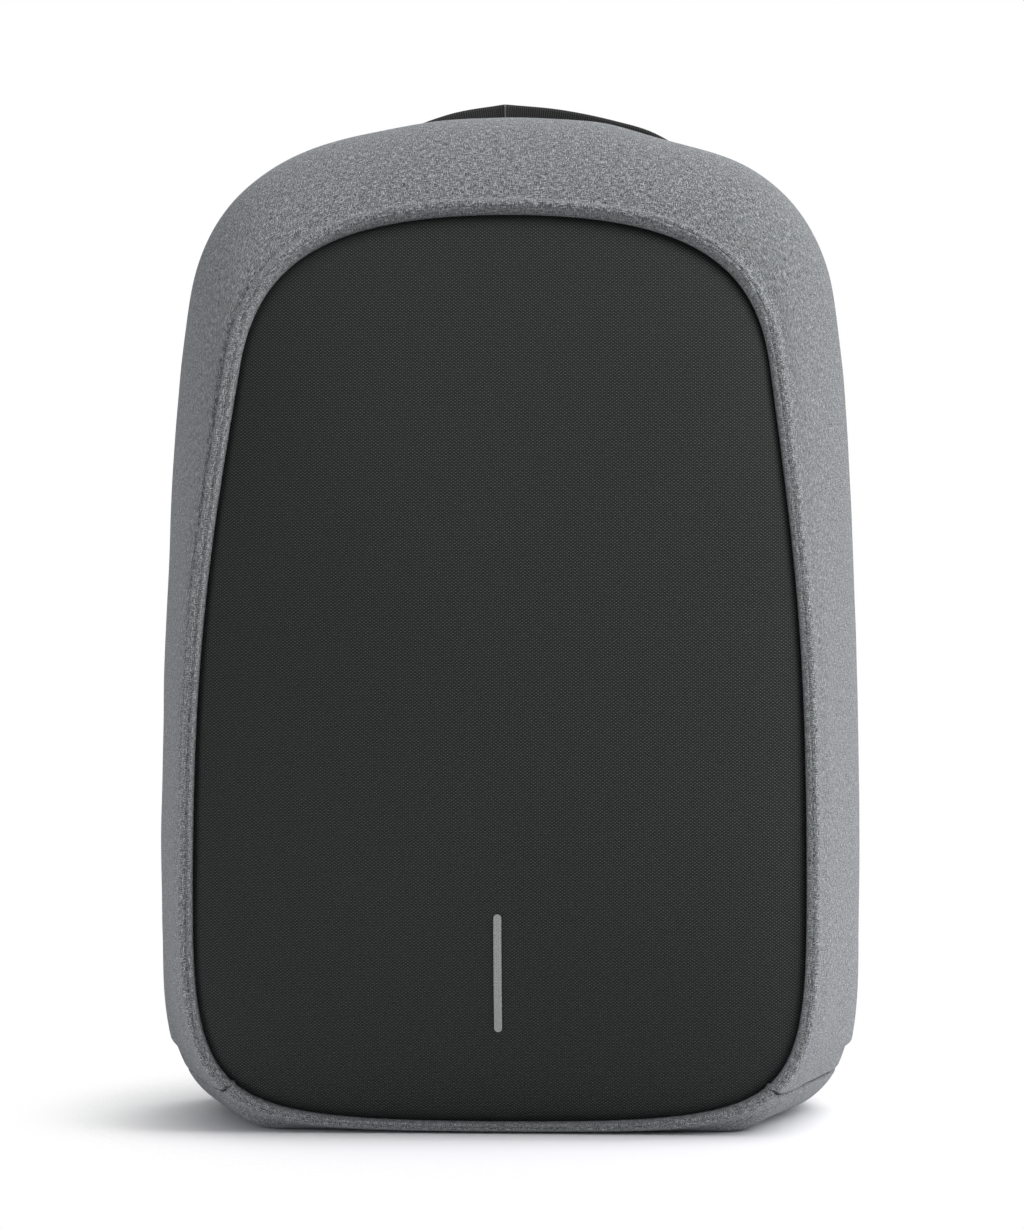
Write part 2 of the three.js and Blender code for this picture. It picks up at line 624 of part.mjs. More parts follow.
// Adjuster: a plastic frame of three bars.
function adjuster(hand, name) {
  const { at, height, down } = adjusterFrame;
  const inner = WEBBING_WIDTH / 2 + SLOT_PLAY;
  const halfWidth = inner + ADJUSTER_SIDE;
  const rectangle = (shape, left, low, right, high) => {
    shape.moveTo(left, low);
    shape.lineTo(right, low);
    shape.lineTo(right, high);
    shape.lineTo(left, high);
    shape.closePath();
    return shape;
  };
  const outline = new THREE.Shape();
  const corner = ADJUSTER_CORNER;
  outline.moveTo(-halfWidth + corner, 0);
  outline.lineTo(halfWidth - corner, 0);
  outline.quadraticCurveTo(halfWidth, 0, halfWidth, corner);
  outline.lineTo(halfWidth, height - corner);
  outline.quadraticCurveTo(halfWidth, height, halfWidth - corner, height);
  outline.lineTo(-halfWidth + corner, height);
  outline.quadraticCurveTo(-halfWidth, height, -halfWidth, height - corner);
  outline.lineTo(-halfWidth, corner);
  outline.quadraticCurveTo(-halfWidth, 0, -halfWidth + corner, 0);
  for (const low of [BAR, 2 * BAR + SLOT]) {
    outline.holes.push(rectangle(new THREE.Path(), -inner, low, inner, low + SLOT));
  }
  const geometry = new THREE.ExtrudeGeometry(outline, {
    depth: BAR_THICK, bevelEnabled: false, curveSegments: 3,
  });
  geometry.translate(0, 0, -BAR_THICK / 2);
  const mesh = new THREE.Mesh(geometry, new THREE.MeshStandardMaterial(MATERIALS.plastic));
  mesh.name = name;
  const origin = at(0, 0);
  mesh.position.set(hand * (STRAP_ROOT_X + STRAP_SPREAD), origin.x, origin.y);
  // The outline's height runs down the strap.
  mesh.rotation.x = Math.atan2(down.y, down.x);
  return mesh;
}

// Webbing: from its anchor on the back panel up behind the adjuster, over its middle bar and
// down in front as a loose tail.
function webbing(hand, name) {
  const { at, wrap, height } = adjusterFrame;
  const strapX = STRAP_ROOT_X + STRAP_SPREAD;
  const anchorX = BODY_WIDTH / 2 - ANCHOR_INSET;
  const sewnY = PLATE_BACK_Y + CLEAR + WEBBING_THICK / 2;
  const enter = at(height + BAR, -wrap);
  const rise = enter.y - ANCHOR_Z;
  const lower = [
    { up: 0, away: 0, across: 1 }, { up: 0.2, away: 0, across: 1 },
    { up: 0.32, away: 0.14, across: 0.95 }, { up: 0.5, away: 0.46, across: 0.72 },
    { up: 0.75, away: 0.8, across: 0.36 },
  ].map((row) => ({
    x: mix(strapX, anchorX, row.across), y: mix(sewnY, enter.x, row.away), z: ANCHOR_Z + rise * row.up,
  }));
  const middleBar = BAR + SLOT;
  const leave = at(height + BAR / 2, wrap);
  const wrapPath = [
    [height + BAR, -wrap], [middleBar + BAR, -wrap],
    ...turnRound(middleBar, -1).reverse(),
    [middleBar + BAR, wrap], [height + BAR / 2, wrap],
  ].map(([along, away]) => {
    const p = at(along, away);
    return { x: strapX, y: p.x, z: p.y };
  });
  const tail = [0.3, 0.65, 1].map((s) => ({
    x: strapX, y: leave.x - TAIL_LEAN * s, z: leave.y - TAIL_LENGTH * s,
  }));
  const path = [...lower, ...wrapPath, ...tail].map((p) => ({
    ...p, x: hand * p.x, width: WEBBING_WIDTH, thick: WEBBING_THICK,
  }));
  return band(name, 'webbing', path, 0);
}

const backpack = new THREE.Group();
backpack.name = 'anti_theft_backpack';

const body = new THREE.Group();
body.add(sideWall(), basePanel(), frontPanel(), reflectiveStrip());

const back = new THREE.Group();
back.add(backBorder(), zip(), backPanel(), backPad(), handle());

backpack.add(body, back);
for (const [hand, word] of [[-1, 'left'], [1, 'right']]) {
  const carrying = new THREE.Group();
  carrying.add(
    shoulderStrap(hand, `shoulder_strap_${word}`),
    adjuster(hand, `adjuster_${word}`),
    webbing(hand, `webbing_${word}`));
  backpack.add(carrying);
}

export default backpack;
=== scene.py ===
import math

import bmesh
import bpy
import numpy as np
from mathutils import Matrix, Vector, noise


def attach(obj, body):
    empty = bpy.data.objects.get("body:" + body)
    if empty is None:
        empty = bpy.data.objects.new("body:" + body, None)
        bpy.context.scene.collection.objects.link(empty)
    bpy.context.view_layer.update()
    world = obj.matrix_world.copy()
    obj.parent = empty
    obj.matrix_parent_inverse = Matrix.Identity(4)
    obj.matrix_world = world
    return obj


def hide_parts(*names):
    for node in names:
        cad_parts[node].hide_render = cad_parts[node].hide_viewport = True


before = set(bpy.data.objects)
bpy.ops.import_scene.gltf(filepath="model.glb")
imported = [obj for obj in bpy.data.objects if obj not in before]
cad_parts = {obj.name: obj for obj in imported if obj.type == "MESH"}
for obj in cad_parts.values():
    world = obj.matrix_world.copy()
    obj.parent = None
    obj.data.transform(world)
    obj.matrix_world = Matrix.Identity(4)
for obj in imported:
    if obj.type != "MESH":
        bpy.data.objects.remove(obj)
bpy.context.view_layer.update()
scene = bpy.context.scene


# ---- Camera
# It stands 2.7 m in front of the bag, a little to the right of its middle plane and a little
# above its middle, with a long lens, so the sides run nearly straight back.
AIM = Vector((0.00211, 0.0, 0.22269))
CAMERA_TURN = math.radians(2.7)
CAMERA_RISE = math.radians(3.0)
CAMERA_REACH = 2.7
SENSOR, FOCAL_LENGTH = 36, 178.6  # millimetres

towards = Vector((math.sin(CAMERA_TURN) * math.cos(CAMERA_RISE),
                  -math.cos(CAMERA_TURN) * math.cos(CAMERA_RISE),
                  math.sin(CAMERA_RISE)))
lens = bpy.data.cameras.new("camera")
lens.sensor_width = SENSOR
lens.lens = FOCAL_LENGTH
camera = bpy.data.objects.new("camera", lens)
camera.location = AIM + towards * CAMERA_REACH
camera.rotation_euler = (-towards).to_track_quat("-Z", "Y").to_euler()
scene.collection.objects.link(camera)
scene.camera = camera


# ---- Studio
# A pale floor in a white surround, whose edge fades away as the camera sees it. A large soft light
# on the right, a weaker one low on the left, a broad one overhead and one behind the bag.
class Value:
    """A socket's value in a sum. Its operators add Math nodes to the material."""

    def __init__(self, finish, socket):
        self.finish = finish
        self.socket = socket

    def maths(self, operation, *others):
        return self.finish.node("ShaderNodeMath", {"operation": operation},
                                dict(enumerate((self, *others))))[0]

    def __add__(self, other):
        return self.maths("ADD", other)

    def __sub__(self, other):
        return self.maths("SUBTRACT", other)

    def __mul__(self, other):
        return self.maths("MULTIPLY", other)

    def __pow__(self, other):
        return self.maths("POWER", other)

    def __rsub__(self, other):
        return self * -1 + other

    __radd__ = __add__
    __rmul__ = __mul__


class Finish:
    """A material with its shader, and one method that adds any other node."""

    def __init__(self, name, **uniform):
        self.material = bpy.data.materials.new(name)
        self.material.use_nodes = True
        self.tree = self.material.node_tree
        self.shader = self.tree.nodes["Principled BSDF"]
        for key, value in uniform.items():
            self.shader.inputs[key.replace("_", " ")].default_value = value

    def plug(self, socket, value):
        if isinstance(value, Value):
            self.tree.links.new(value.socket, socket)
        else:
            socket.default_value = value

    def node(self, kind, settings, sockets):
        made = self.tree.nodes.new(kind)
        for key, value in settings.items():
            if key == "stops":
                ramp = made.color_ramp.elements
                while len(ramp) < len(value):
                    ramp.new(0.5)
                for stop, (place, colour) in zip(ramp, value):
                    stop.position = place
                    stop.color = (*colour, 1)
            else:
                setattr(made, key, value)
        for key, value in sockets.items():
            self.plug(made.inputs[key], value)
        return [Value(self, socket) for socket in made.outputs]

    def feed(self, **sockets):
        for key, value in sockets.items():
            self.plug(self.shader.inputs[key.replace("_", " ")], value)


def object_place(finish):
    """A point's place on the object, in metres."""
    return finish.node("ShaderNodeTexCoord", {}, {})[3]


FLOOR_RADIUS, FLOOR_GAP = 0.6, 0.0004
FLOOR_FADE = (0.12, 0.225)  # metres from the bag's middle, as the camera sees it
SURROUND = 0.42

floor_mesh = bpy.data.meshes.new("floor")
shape = bmesh.new()
bmesh.ops.create_circle(shape, cap_ends=True, segments=96, radius=FLOOR_RADIUS)
shape.to_mesh(floor_mesh)
shape.free()
floor = bpy.data.objects.new("floor", floor_mesh)
floor.location.z = -FLOOR_GAP
scene.collection.objects.link(floor)

paper = Finish("floor_paper", Base_Color=(0.93, 0.925, 0.95, 1), Roughness=0.7,
               Specular_IOR_Level=0.2)
place = object_place(paper)
distance = paper.node("ShaderNodeVectorMath", {"operation": "LENGTH"}, {0: place})[1]
fade = paper.node("ShaderNodeMapRange", {"interpolation_type": "SMOOTHSTEP"}, {
    0: distance, 1: FLOOR_FADE[0], 2: FLOOR_FADE[1], 3: 0.0, 4: 1.0})[0]
clear = paper.node("ShaderNodeBsdfTransparent", {}, {})[0]
looked_at = paper.node("ShaderNodeLightPath", {}, {})[0]
both = paper.node("ShaderNodeMixShader", {}, {
    0: fade * looked_at, 1: Value(paper, paper.shader.outputs[0]), 2: clear})[0]
paper.plug(paper.tree.nodes["Material Output"].inputs["Surface"], both)
floor_mesh.materials.append(paper.material)

world = bpy.data.worlds.new("surround")
scene.world = world
world.use_nodes = True
sky = world.node_tree
light_on_bag = sky.nodes["Background"]
light_on_bag.inputs["Color"].default_value = (0.97, 0.985, 1, 1)
light_on_bag.inputs["Strength"].default_value = SURROUND
backdrop = sky.nodes.new("ShaderNodeBackground")
backdrop.inputs["Color"].default_value = (1, 1, 1, 1)
seen = sky.nodes.new("ShaderNodeLightPath")
blend = sky.nodes.new("ShaderNodeMixShader")
sky.links.new(seen.outputs["Is Camera Ray"], blend.inputs[0])
sky.links.new(light_on_bag.outputs[0], blend.inputs[1])
sky.links.new(backdrop.outputs[0], blend.inputs[2])
sky.links.new(blend.outputs[0], sky.nodes["World Output"].inputs["Surface"])

LIGHTS = [
    # name, place, size, watts
    ("key_light", (2.4, -0.8, 1.5), 2.2, 46),
    ("left_light", (-2.0, -0.9, 0.15), 1.0, 14),
    ("top_light", (1.1, -0.4, 2.2), 1.8, 41),
    ("back_light", (0.4, 2.3, 1.6), 1.4, 25),
]
for name, place, size, watts in LIGHTS:
    lamp = bpy.data.lights.new(name, "AREA")
    lamp.shape = "DISK"
    lamp.size = size
    lamp.energy = watts
    light = bpy.data.objects.new(name, lamp)
    light.location = place
    light.rotation_euler = (AIM - light.location).to_track_quat("-Z", "Y").to_euler()
    scene.collection.objects.link(light)
scene.view_settings.view_transform = "Standard"


# ---- Grey body
# A padded gusset of grey melange cloth over foam, cut in one length from low on one side over
# the top to the other, and a base of the same cloth sewn to it. Its front edge is rolled.
BODY_WIDTH, BODY_HEIGHT = 312.4, 443
BACK_EDGE_Y, BAG_DEPTH, TOP_DEPTH = 58, 137, 56
LEAN_START, LEAN_END, LEAN_POWER, LOW_TUCK = 90, 405, 1.9, 19
FLAT_BASE, SIDE_FLARE, TOP_RISE, BASE_BAND = 224, 23.2, 43.3, 4.4
SEAM_SHARE, SEAM_SWEEP, SWEEP_REACH = 0.205, 0.02, 0.07
RIM_WIDTH, RIM_DEPTH = 7.5, 6.5
CLEAR = 0.3
WIDEST = 0.2485


def bezier(a, b, c, d):
    t = np.linspace(0, 1, 1201)[:, None]
    a, b, c, d = (np.array(p, float) for p in (a, b, c, d))
    return a * (1 - t) ** 3 + 3 * b * t * (1 - t) ** 2 + 3 * c * t * t * (1 - t) + d * t ** 3


class Outline:
    """Half outline from the bottom centre up the right side to the top centre, by its length."""

    def __init__(self, half, bottom, top, foot, low, side):
        rise = top - bottom
        widest = bottom + WIDEST * rise
        run = top - widest
        along, down = low
        x, z, lean, up, meet, leave, crown = side
        shoulder = np.array([half * x, widest + run * z])
        slope = np.array([-math.sin(lean), math.cos(lean)]) * run
        points = np.concatenate([
            [[0, bottom]],
            bezier((foot, bottom), (foot + (half - foot) * along, bottom),
                   (half, widest + (bottom - widest) * down), (half, widest)),
            bezier((half, widest), (half, widest + up * run), shoulder - meet * slope,
                   shoulder)[1:],
            bezier(shoulder, shoulder + leave * slope, (crown * half, top), (0, top))[1:],
        ])
        if foot == 0:
            points = points[1:]
        steps = np.hypot(*np.diff(points, axis=0).T)
        self.length = steps.sum()
        self.share = np.concatenate([[0], np.cumsum(steps)]) / self.length
        self.points = points

    def at(self, share):
        return np.stack([np.interp(share, self.share, self.points[:, i]) for i in (0, 1)], -1)


body_outline = Outline(BODY_WIDTH / 2, 0, BODY_HEIGHT, FLAT_BASE / 2, (0.89, 0.73),
                       (0.918, 0.774, 0.196, 0.199, 0.145, 0.164, 0.528))
panel_outline = Outline(BODY_WIDTH / 2 - SIDE_FLARE, BASE_BAND, BODY_HEIGHT - TOP_RISE, 0,
                        (0.943, 0.925), (0.875, 0.776, 0.136, 0.37, 0.283, 0.143, 0.64))


def rim_y(z):
    front = BACK_EDGE_Y - BAG_DEPTH
    low = LOW_TUCK * (np.clip(LEAN_START - z, 0, None) / LEAN_START) ** 2
    lean = np.clip(z - LEAN_START, 0, None) / (LEAN_END - LEAN_START)
    return front + low + (BAG_DEPTH - TOP_DEPTH) * lean ** LEAN_POWER


class Stations:
    """Where the gusset leaves the panel's edge and where it is widest, for many shares at once.

    Shares run from the bottom centre to the top centre; hand is 1 on the right, -1 on the left.
    """

    def __init__(self, share, hand):
        share, self.hand = np.asarray(share, float), np.asarray(hand, float)
        self.share = share
        step = 0.002
        sweep = SEAM_SWEEP * np.exp(-(((share - SEAM_SHARE) / SWEEP_REACH) ** 2))
        sweep = sweep * np.minimum(1, share / (SEAM_SHARE / 2))
        self.inner = panel_outline.at(share)
        self.outer = body_outline.at(share + sweep)
        along = (panel_outline.at(np.minimum(1, share + step))
                 - panel_outline.at(np.maximum(0, share - step)))
        along /= np.hypot(along[:, 0], along[:, 1])[:, None]
        self.normal = np.stack([along[:, 1], -along[:, 0]], -1)
        length = ((self.outer - self.inner) * self.normal).sum(1)
        self.rim = RIM_WIDTH * length / (length + 0.4 * RIM_WIDTH)
        self.rim_edge = self.inner + self.normal * self.rim[:, None]
        self.front = rim_y(self.inner[:, 1])

    def place(self, flat, y):
        return np.stack([self.hand * flat[:, 0], np.broadcast_to(y, self.hand.shape),
                         flat[:, 1]], -1)

    def at(self, out, y):
        out = np.broadcast_to(out, self.hand.shape)
        return self.place(self.inner + self.normal * out[:, None], y)

    def between(self, row, out, y):
        side, top, bottom = row
        up = np.where(self.outer[:, 1] > self.rim_edge[:, 1], top, bottom)
        share = np.stack([np.full_like(up, side), up], -1)
        out = np.broadcast_to(out, self.hand.shape)
        flat = self.rim_edge + (self.outer - self.rim_edge) * share
        return self.place(flat + self.normal * out[:, None], y)


# Rows of the cloth from its turned edge, deep in the panel's groove, to the back edge. The first
# give the rolled rim by its width and depth: a flat face on the sides, a broader crest over the
# top. The others give the gusset by its depth and its way out, up and down.
RIM_ROWS = [
    # width and depth on the sides, width and depth over the top
    (0.0, 1.0, 0.0, 1.0), (0.05, 0.58, 0.05, 0.6), (0.12, 0.28, 0.12, 0.32),
    (0.24, 0.1, 0.26, 0.15), (0.4, 0.02, 0.46, 0.06), (0.56, 0.0, 0.66, 0.0),
    (0.69, 0.07, 0.82, 0.0), (0.79, 0.23, 0.94, 0.1), (0.87, 0.46, 1.05, 0.27),
    (0.94, 0.75, 1.25, 0.38),
]
TOP_RIM = (0.52, 0.86)  # share of the outline over which the rim grows broader
GUSSET_ROWS = [
    (0.11, (0.16, 0.27, 1)), (0.26, (0.4, 0.62, 1)), (0.43, (0.66, 0.88, 1)),
    (0.62, (0.9, 1.0, 1)), (0.78, (1.0, 0.97, 1)), (0.9, (0.99, 0.8, 1)),
    (0.97, (0.92, 0.52, 1)), (1.0, (0.84, 0.25, 1)),
]
BACK_EDGE = GUSSET_ROWS[-1][1]


def smooth_rows(rows, marks, wanted):
    """Rows [row, station, 3] at marks, drawn through them as one smooth line at wanted."""
    slopes = np.gradient(rows, marks, axis=0, edge_order=1)
    index = np.clip(np.searchsorted(marks, wanted, side="right") - 1, 0, len(marks) - 2)
    span = (marks[index + 1] - marks[index])[:, None, None]
    t = (wanted - marks[index])[:, None, None] / span
    return ((2 * t ** 3 - 3 * t ** 2 + 1) * rows[index] + (t ** 3 - 2 * t ** 2 + t) * span
            * slopes[index] + (3 * t ** 2 - 2 * t ** 3) * rows[index + 1]
            + (t ** 3 - t ** 2) * span * slopes[index + 1])


def gusset_rows(st, wanted):
    top = np.clip((st.share - TOP_RIM[0]) / (TOP_RIM[1] - TOP_RIM[0]), 0, 1)
    rows = []
    for out, deep, top_out, top_deep in RIM_ROWS:
        wide, back = out + (top_out - out) * top, deep + (top_deep - deep) * top
        rows.append(st.at(CLEAR + wide * (st.rim - CLEAR), st.front + back * RIM_DEPTH))
    rows += [st.between(shares, 0, st.front + (BACK_EDGE_Y - st.front) * deep)
             for deep, shares in GUSSET_ROWS]
    rows = np.array(rows)
    steps = np.median(np.linalg.norm(np.diff(rows, axis=0), axis=2), axis=1)
    marks = np.concatenate([[0], np.cumsum(steps)])
    return smooth_rows(rows, marks, wanted * marks[-1])


def skin(name, grid, ring=False):
    """A closed mesh over grid[row, column] in millimetres, with a UV map in metres.

    The columns close on themselves. In a ring the rows do so too, and otherwise both ends are
    closed with a fan."""
    rows, cols = grid.shape[:2]
    wide = np.concatenate([grid, grid[:, :1]], 1)
    if ring:
        wide = np.concatenate([wide, wide[:1]], 0)
    down = np.linalg.norm(np.diff(wide, axis=0), axis=2).mean(1) / 1000
    over = np.linalg.norm(np.diff(wide, axis=1), axis=2).mean(0) / 1000
    along = np.concatenate([[0], np.cumsum(down)])
    across = np.concatenate([[0], np.cumsum(over)])
    r, c = (a.ravel() for a in np.meshgrid(
        np.arange(len(down)), np.arange(len(over)), indexing="ij"))
    rr, cc = np.stack([r, r + 1, r + 1, r], -1), np.stack([c, c, c + 1, c + 1], -1)
    faces = ((rr % rows) * cols + cc % cols).tolist()
    uv = np.stack([along[rr], across[cc]], -1).reshape(-1, 2)
    points = grid.reshape(-1, 3)
    if not ring:
        ends = [grid[0].mean(0), grid[-1].mean(0)]
        count = len(points)
        points = np.concatenate([points, ends])
        for k in range(cols):
            after = (k + 1) % cols
            faces.append([count, k, after])
            faces.append([count + 1, (rows - 1) * cols + after, (rows - 1) * cols + k])
        uv = np.concatenate([uv, np.zeros((6 * cols, 2))])
    mesh = bpy.data.meshes.new(name)
    mesh.from_pydata((points / 1000).tolist(), [], faces)
    layer = mesh.uv_layers.new(name="cloth")
    layer.uv.foreach_set("vector", uv.astype(np.float32).ravel())
    mesh.polygons.foreach_set("use_smooth", [True] * len(mesh.polygons))
    corners = [[points[i] for i in face[:3]] for face in faces]
    a, b, c = (np.array([t[i] for t in corners]) for i in range(3))
    if np.einsum("ij,ij->i", a, np.cross(b, c)).sum() < 0:
        mesh.flip_normals()
    mesh.update()
    piece = bpy.data.objects.new(name, mesh)
    scene.collection.objects.link(piece)
    return piece


def grid_normals(grid, outwards):
    """Unit normals of a grid, on the side that outwards points to."""
    down = np.gradient(grid, axis=0)
    over = np.gradient(grid, axis=1)
    normal = np.cross(down, over)
    normal /= np.linalg.norm(normal, axis=2)[..., None] + 1e-9
    turn = np.sign((normal * outwards).sum(2))
    return normal * turn[..., None]


def ripple(grid, size, seed):
    """Soft noise from -1 to 1 over a grid in millimetres, with humps about size apart."""
    spot = grid.reshape(-1, 3) / size + seed
    return np.array([noise.noise(Vector(p)) for p in spot]).reshape(grid.shape[:2])


WALL = 4.0
TUCK, TUCK_REACH = 2.6, 0.7  # how deep and how wide the cloth dips into the seam
DENTS = [
    # side, share of the outline and reach along it, share of the depth and reach, depth
    (1, 0.893, 0.042, 0.72, 0.4, 3.0), (-1, 0.905, 0.035, 0.72, 0.4, 1.3),
    (1, 0.935, 0.018, 0.66, 0.2, -0.7),
]
END_SWELL, SWELL_FROM, SWELL_TO = 2.3, 0.2225, 0.31  # over the zip's ends, by the outline's share
SEAM_HALF = CLEAR / 2 / panel_outline.length
BAG_MIDDLE = np.array([0, -10, BODY_HEIGHT * 0.45])
WALL_STEPS, BASE_STEPS = 230, 90  # from the seam to the middle line
UNEVEN = [(0.5, 62, 3.1), (0.25, 24, 8.4)]  # height, distance between humps, seed
GROOVE = (-1, 0.102, 0.012, 1.7)  # side, place and reach in share of the depth, depth
GROOVE_SPAN, GROOVE_ENDS = (0.36, 0.9), 0.1
SWELL_EASE, SWELL_BACK = 0.005, (0.45, 0.35)  # how soon it is full, and where over the depth
HELD, FREE_AFTER, FLOOR_EASE = 0.03, 0.05, 6  # the cloth lies still at its edges and on the floor
PROFILE = np.concatenate([np.linspace(0, 0.15, 30)[:-1], np.linspace(0.15, 1, 42)])


def padded_wall(name, share, hand):
    """Outer and inner face of the cloth as one closed skin.

    The cloth has soft dents, a groove on one side and a swelling over the zip's thick ends, and
    dips where it is sewn."""
    st = Stations(share, hand)
    outer = gusset_rows(st, PROFILE)
    normal = grid_normals(outer, outer - BAG_MIDDLE)
    travelled = np.abs(np.asarray(share) - SEAM_SHARE) * panel_outline.length
    dip = TUCK * np.exp(-(travelled / TUCK_REACH) ** 2)
    free = (np.clip((PROFILE - HELD) / FREE_AFTER, 0, 1)
            * np.clip((1 - PROFILE) / FREE_AFTER, 0, 1))
    soft = sum(high * ripple(outer, size, seed) for high, size, seed in UNEVEN)
    for side, spot, along, deep, over, depth in DENTS:
        soft -= depth * np.where(hand == side, 1, 0) * np.exp(
            -((share - spot) / along) ** 2 - ((PROFILE[:, None] - deep) / over) ** 2)
    side, deep, over, depth = GROOVE
    inside = np.minimum(share - GROOVE_SPAN[0], GROOVE_SPAN[1] - share) / GROOVE_ENDS
    soft -= depth * np.where(hand == side, 1, 0) * np.clip(inside, 0, 1) * np.exp(
        -((PROFILE[:, None] - deep) / over) ** 2)
    rise = np.clip((share - SWELL_FROM) / SWELL_EASE, 0, 1)
    rise = rise ** 2 * (3 - 2 * rise) * np.clip((SWELL_TO - share) / (SWELL_TO - SWELL_FROM), 0, 1)
    back = np.clip((PROFILE - SWELL_BACK[0]) / SWELL_BACK[1], 0, 1)[:, None]
    soft += END_SWELL * rise * back ** 2 * (3 - 2 * back)
    move = soft * free[:, None] - dip * (0.5 + 0.5 * free[:, None])
    floor_gap = np.clip(outer[..., 2] / FLOOR_EASE, 0, 1)
    outer = outer + normal * (move * floor_gap)[..., None]
    outer[..., 2] = np.maximum(outer[..., 2], 0)
    thick = WALL * np.clip((PROFILE - 0.02) / 0.08, 0.25, 1)
    inner = outer - normal * thick[:, None, None]
    both = np.concatenate([outer, inner[::-1]], 0)
    return skin(name, both.transpose(1, 0, 2))


def seam_spaced(start, end, count):
    """Shares from start to end that lie closer together towards start."""
    t = np.linspace(0, 1, count)
    return start + (end - start) * (0.12 * t + 0.88 * t ** 1.6)


def both_sides(share):
    """Shares along the right side to the middle line and back on the left, each with its hand."""
    right = np.ones(len(share))
    return np.concatenate([share, share[-2::-1]]), np.concatenate([right, -right[1:]])


wall_share = seam_spaced(SEAM_SHARE + SEAM_HALF, 1, WALL_STEPS)
base_share = seam_spaced(SEAM_SHARE - SEAM_HALF, 0, BASE_STEPS)
gusset = padded_wall("padded_gusset", *both_sides(wall_share))
base = padded_wall("padded_base", *both_sides(base_share))


def cloth_place(finish):
    """A point's place on the cloth laid flat, along and across it in metres."""
    return finish.node("ShaderNodeUVMap", {"uv_map": "cloth"}, {})[0]


def shades(finish, value, stops):
    """The colour that stops of (place, colour) give a value."""
    return finish.node("ShaderNodeValToRGB", {"stops": stops}, {0: value})[0]


def raised(finish, strength, distance, height):
    """The normal of fine relief, whose full height is distance in metres."""
    return finish.node("ShaderNodeBump", {}, {
        "Strength": strength, "Distance": distance, "Height": height})[0]


def fibres(finish, where, along, across, seed):
    """Streaks of single yarns: along and across are their sizes in metres."""
    spread = finish.node("ShaderNodeMapping", {}, {
        "Vector": where, "Location": (seed, 2 * seed, 0),
        "Scale": (1 / along, 1 / across, 1)})[0]
    return finish.node("ShaderNodeTexNoise", {"noise_dimensions": "2D"}, {
        "Vector": spread, "Scale": 1.0, "Detail": 2.0, "Roughness": 0.6})[0]


heather = Finish("grey_melange_cloth", Roughness=0.93, Specular_IOR_Level=0.18,
                 Sheen_Weight=0.22, Sheen_Roughness=0.45, Sheen_Tint=(0.9, 0.9, 1, 1))
cloth_uv = cloth_place(heather)
long_yarn = fibres(heather, cloth_uv, 0.0032, 0.00042, 3.0)
cross_yarn = fibres(heather, cloth_uv, 0.00038, 0.0028, 11.0)
speckle = fibres(heather, cloth_uv, 0.00042, 0.00066, 5.0)
mixed = long_yarn.maths("MAXIMUM", cross_yarn) * 0.62 + speckle * 0.38 - 0.036
shade = shades(heather, mixed, [
    (0.39, (0.032, 0.036, 0.037)),
    (0.468, (0.120, 0.129, 0.132)),
    (0.532, (0.224, 0.236, 0.240)),
    (0.62, (0.510, 0.520, 0.520)),
])
PITCH = 0.00052
u, v, _ = heather.node("ShaderNodeSeparateXYZ", {}, {0: cloth_uv})
warp, weft = ((side * (2 * math.pi / PITCH)).maths("SINE") for side in (u, v))
height = warp * weft * 0.35 + mixed * 1.6
heather.feed(Base_Color=shade, Normal=raised(heather, 0.55, 0.00035, height))
for piece, node in ((gusset, "side_wall"), (base, "base_panel")):
    piece.data.materials.append(heather.material)
    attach(piece, "root")
    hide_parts(node)


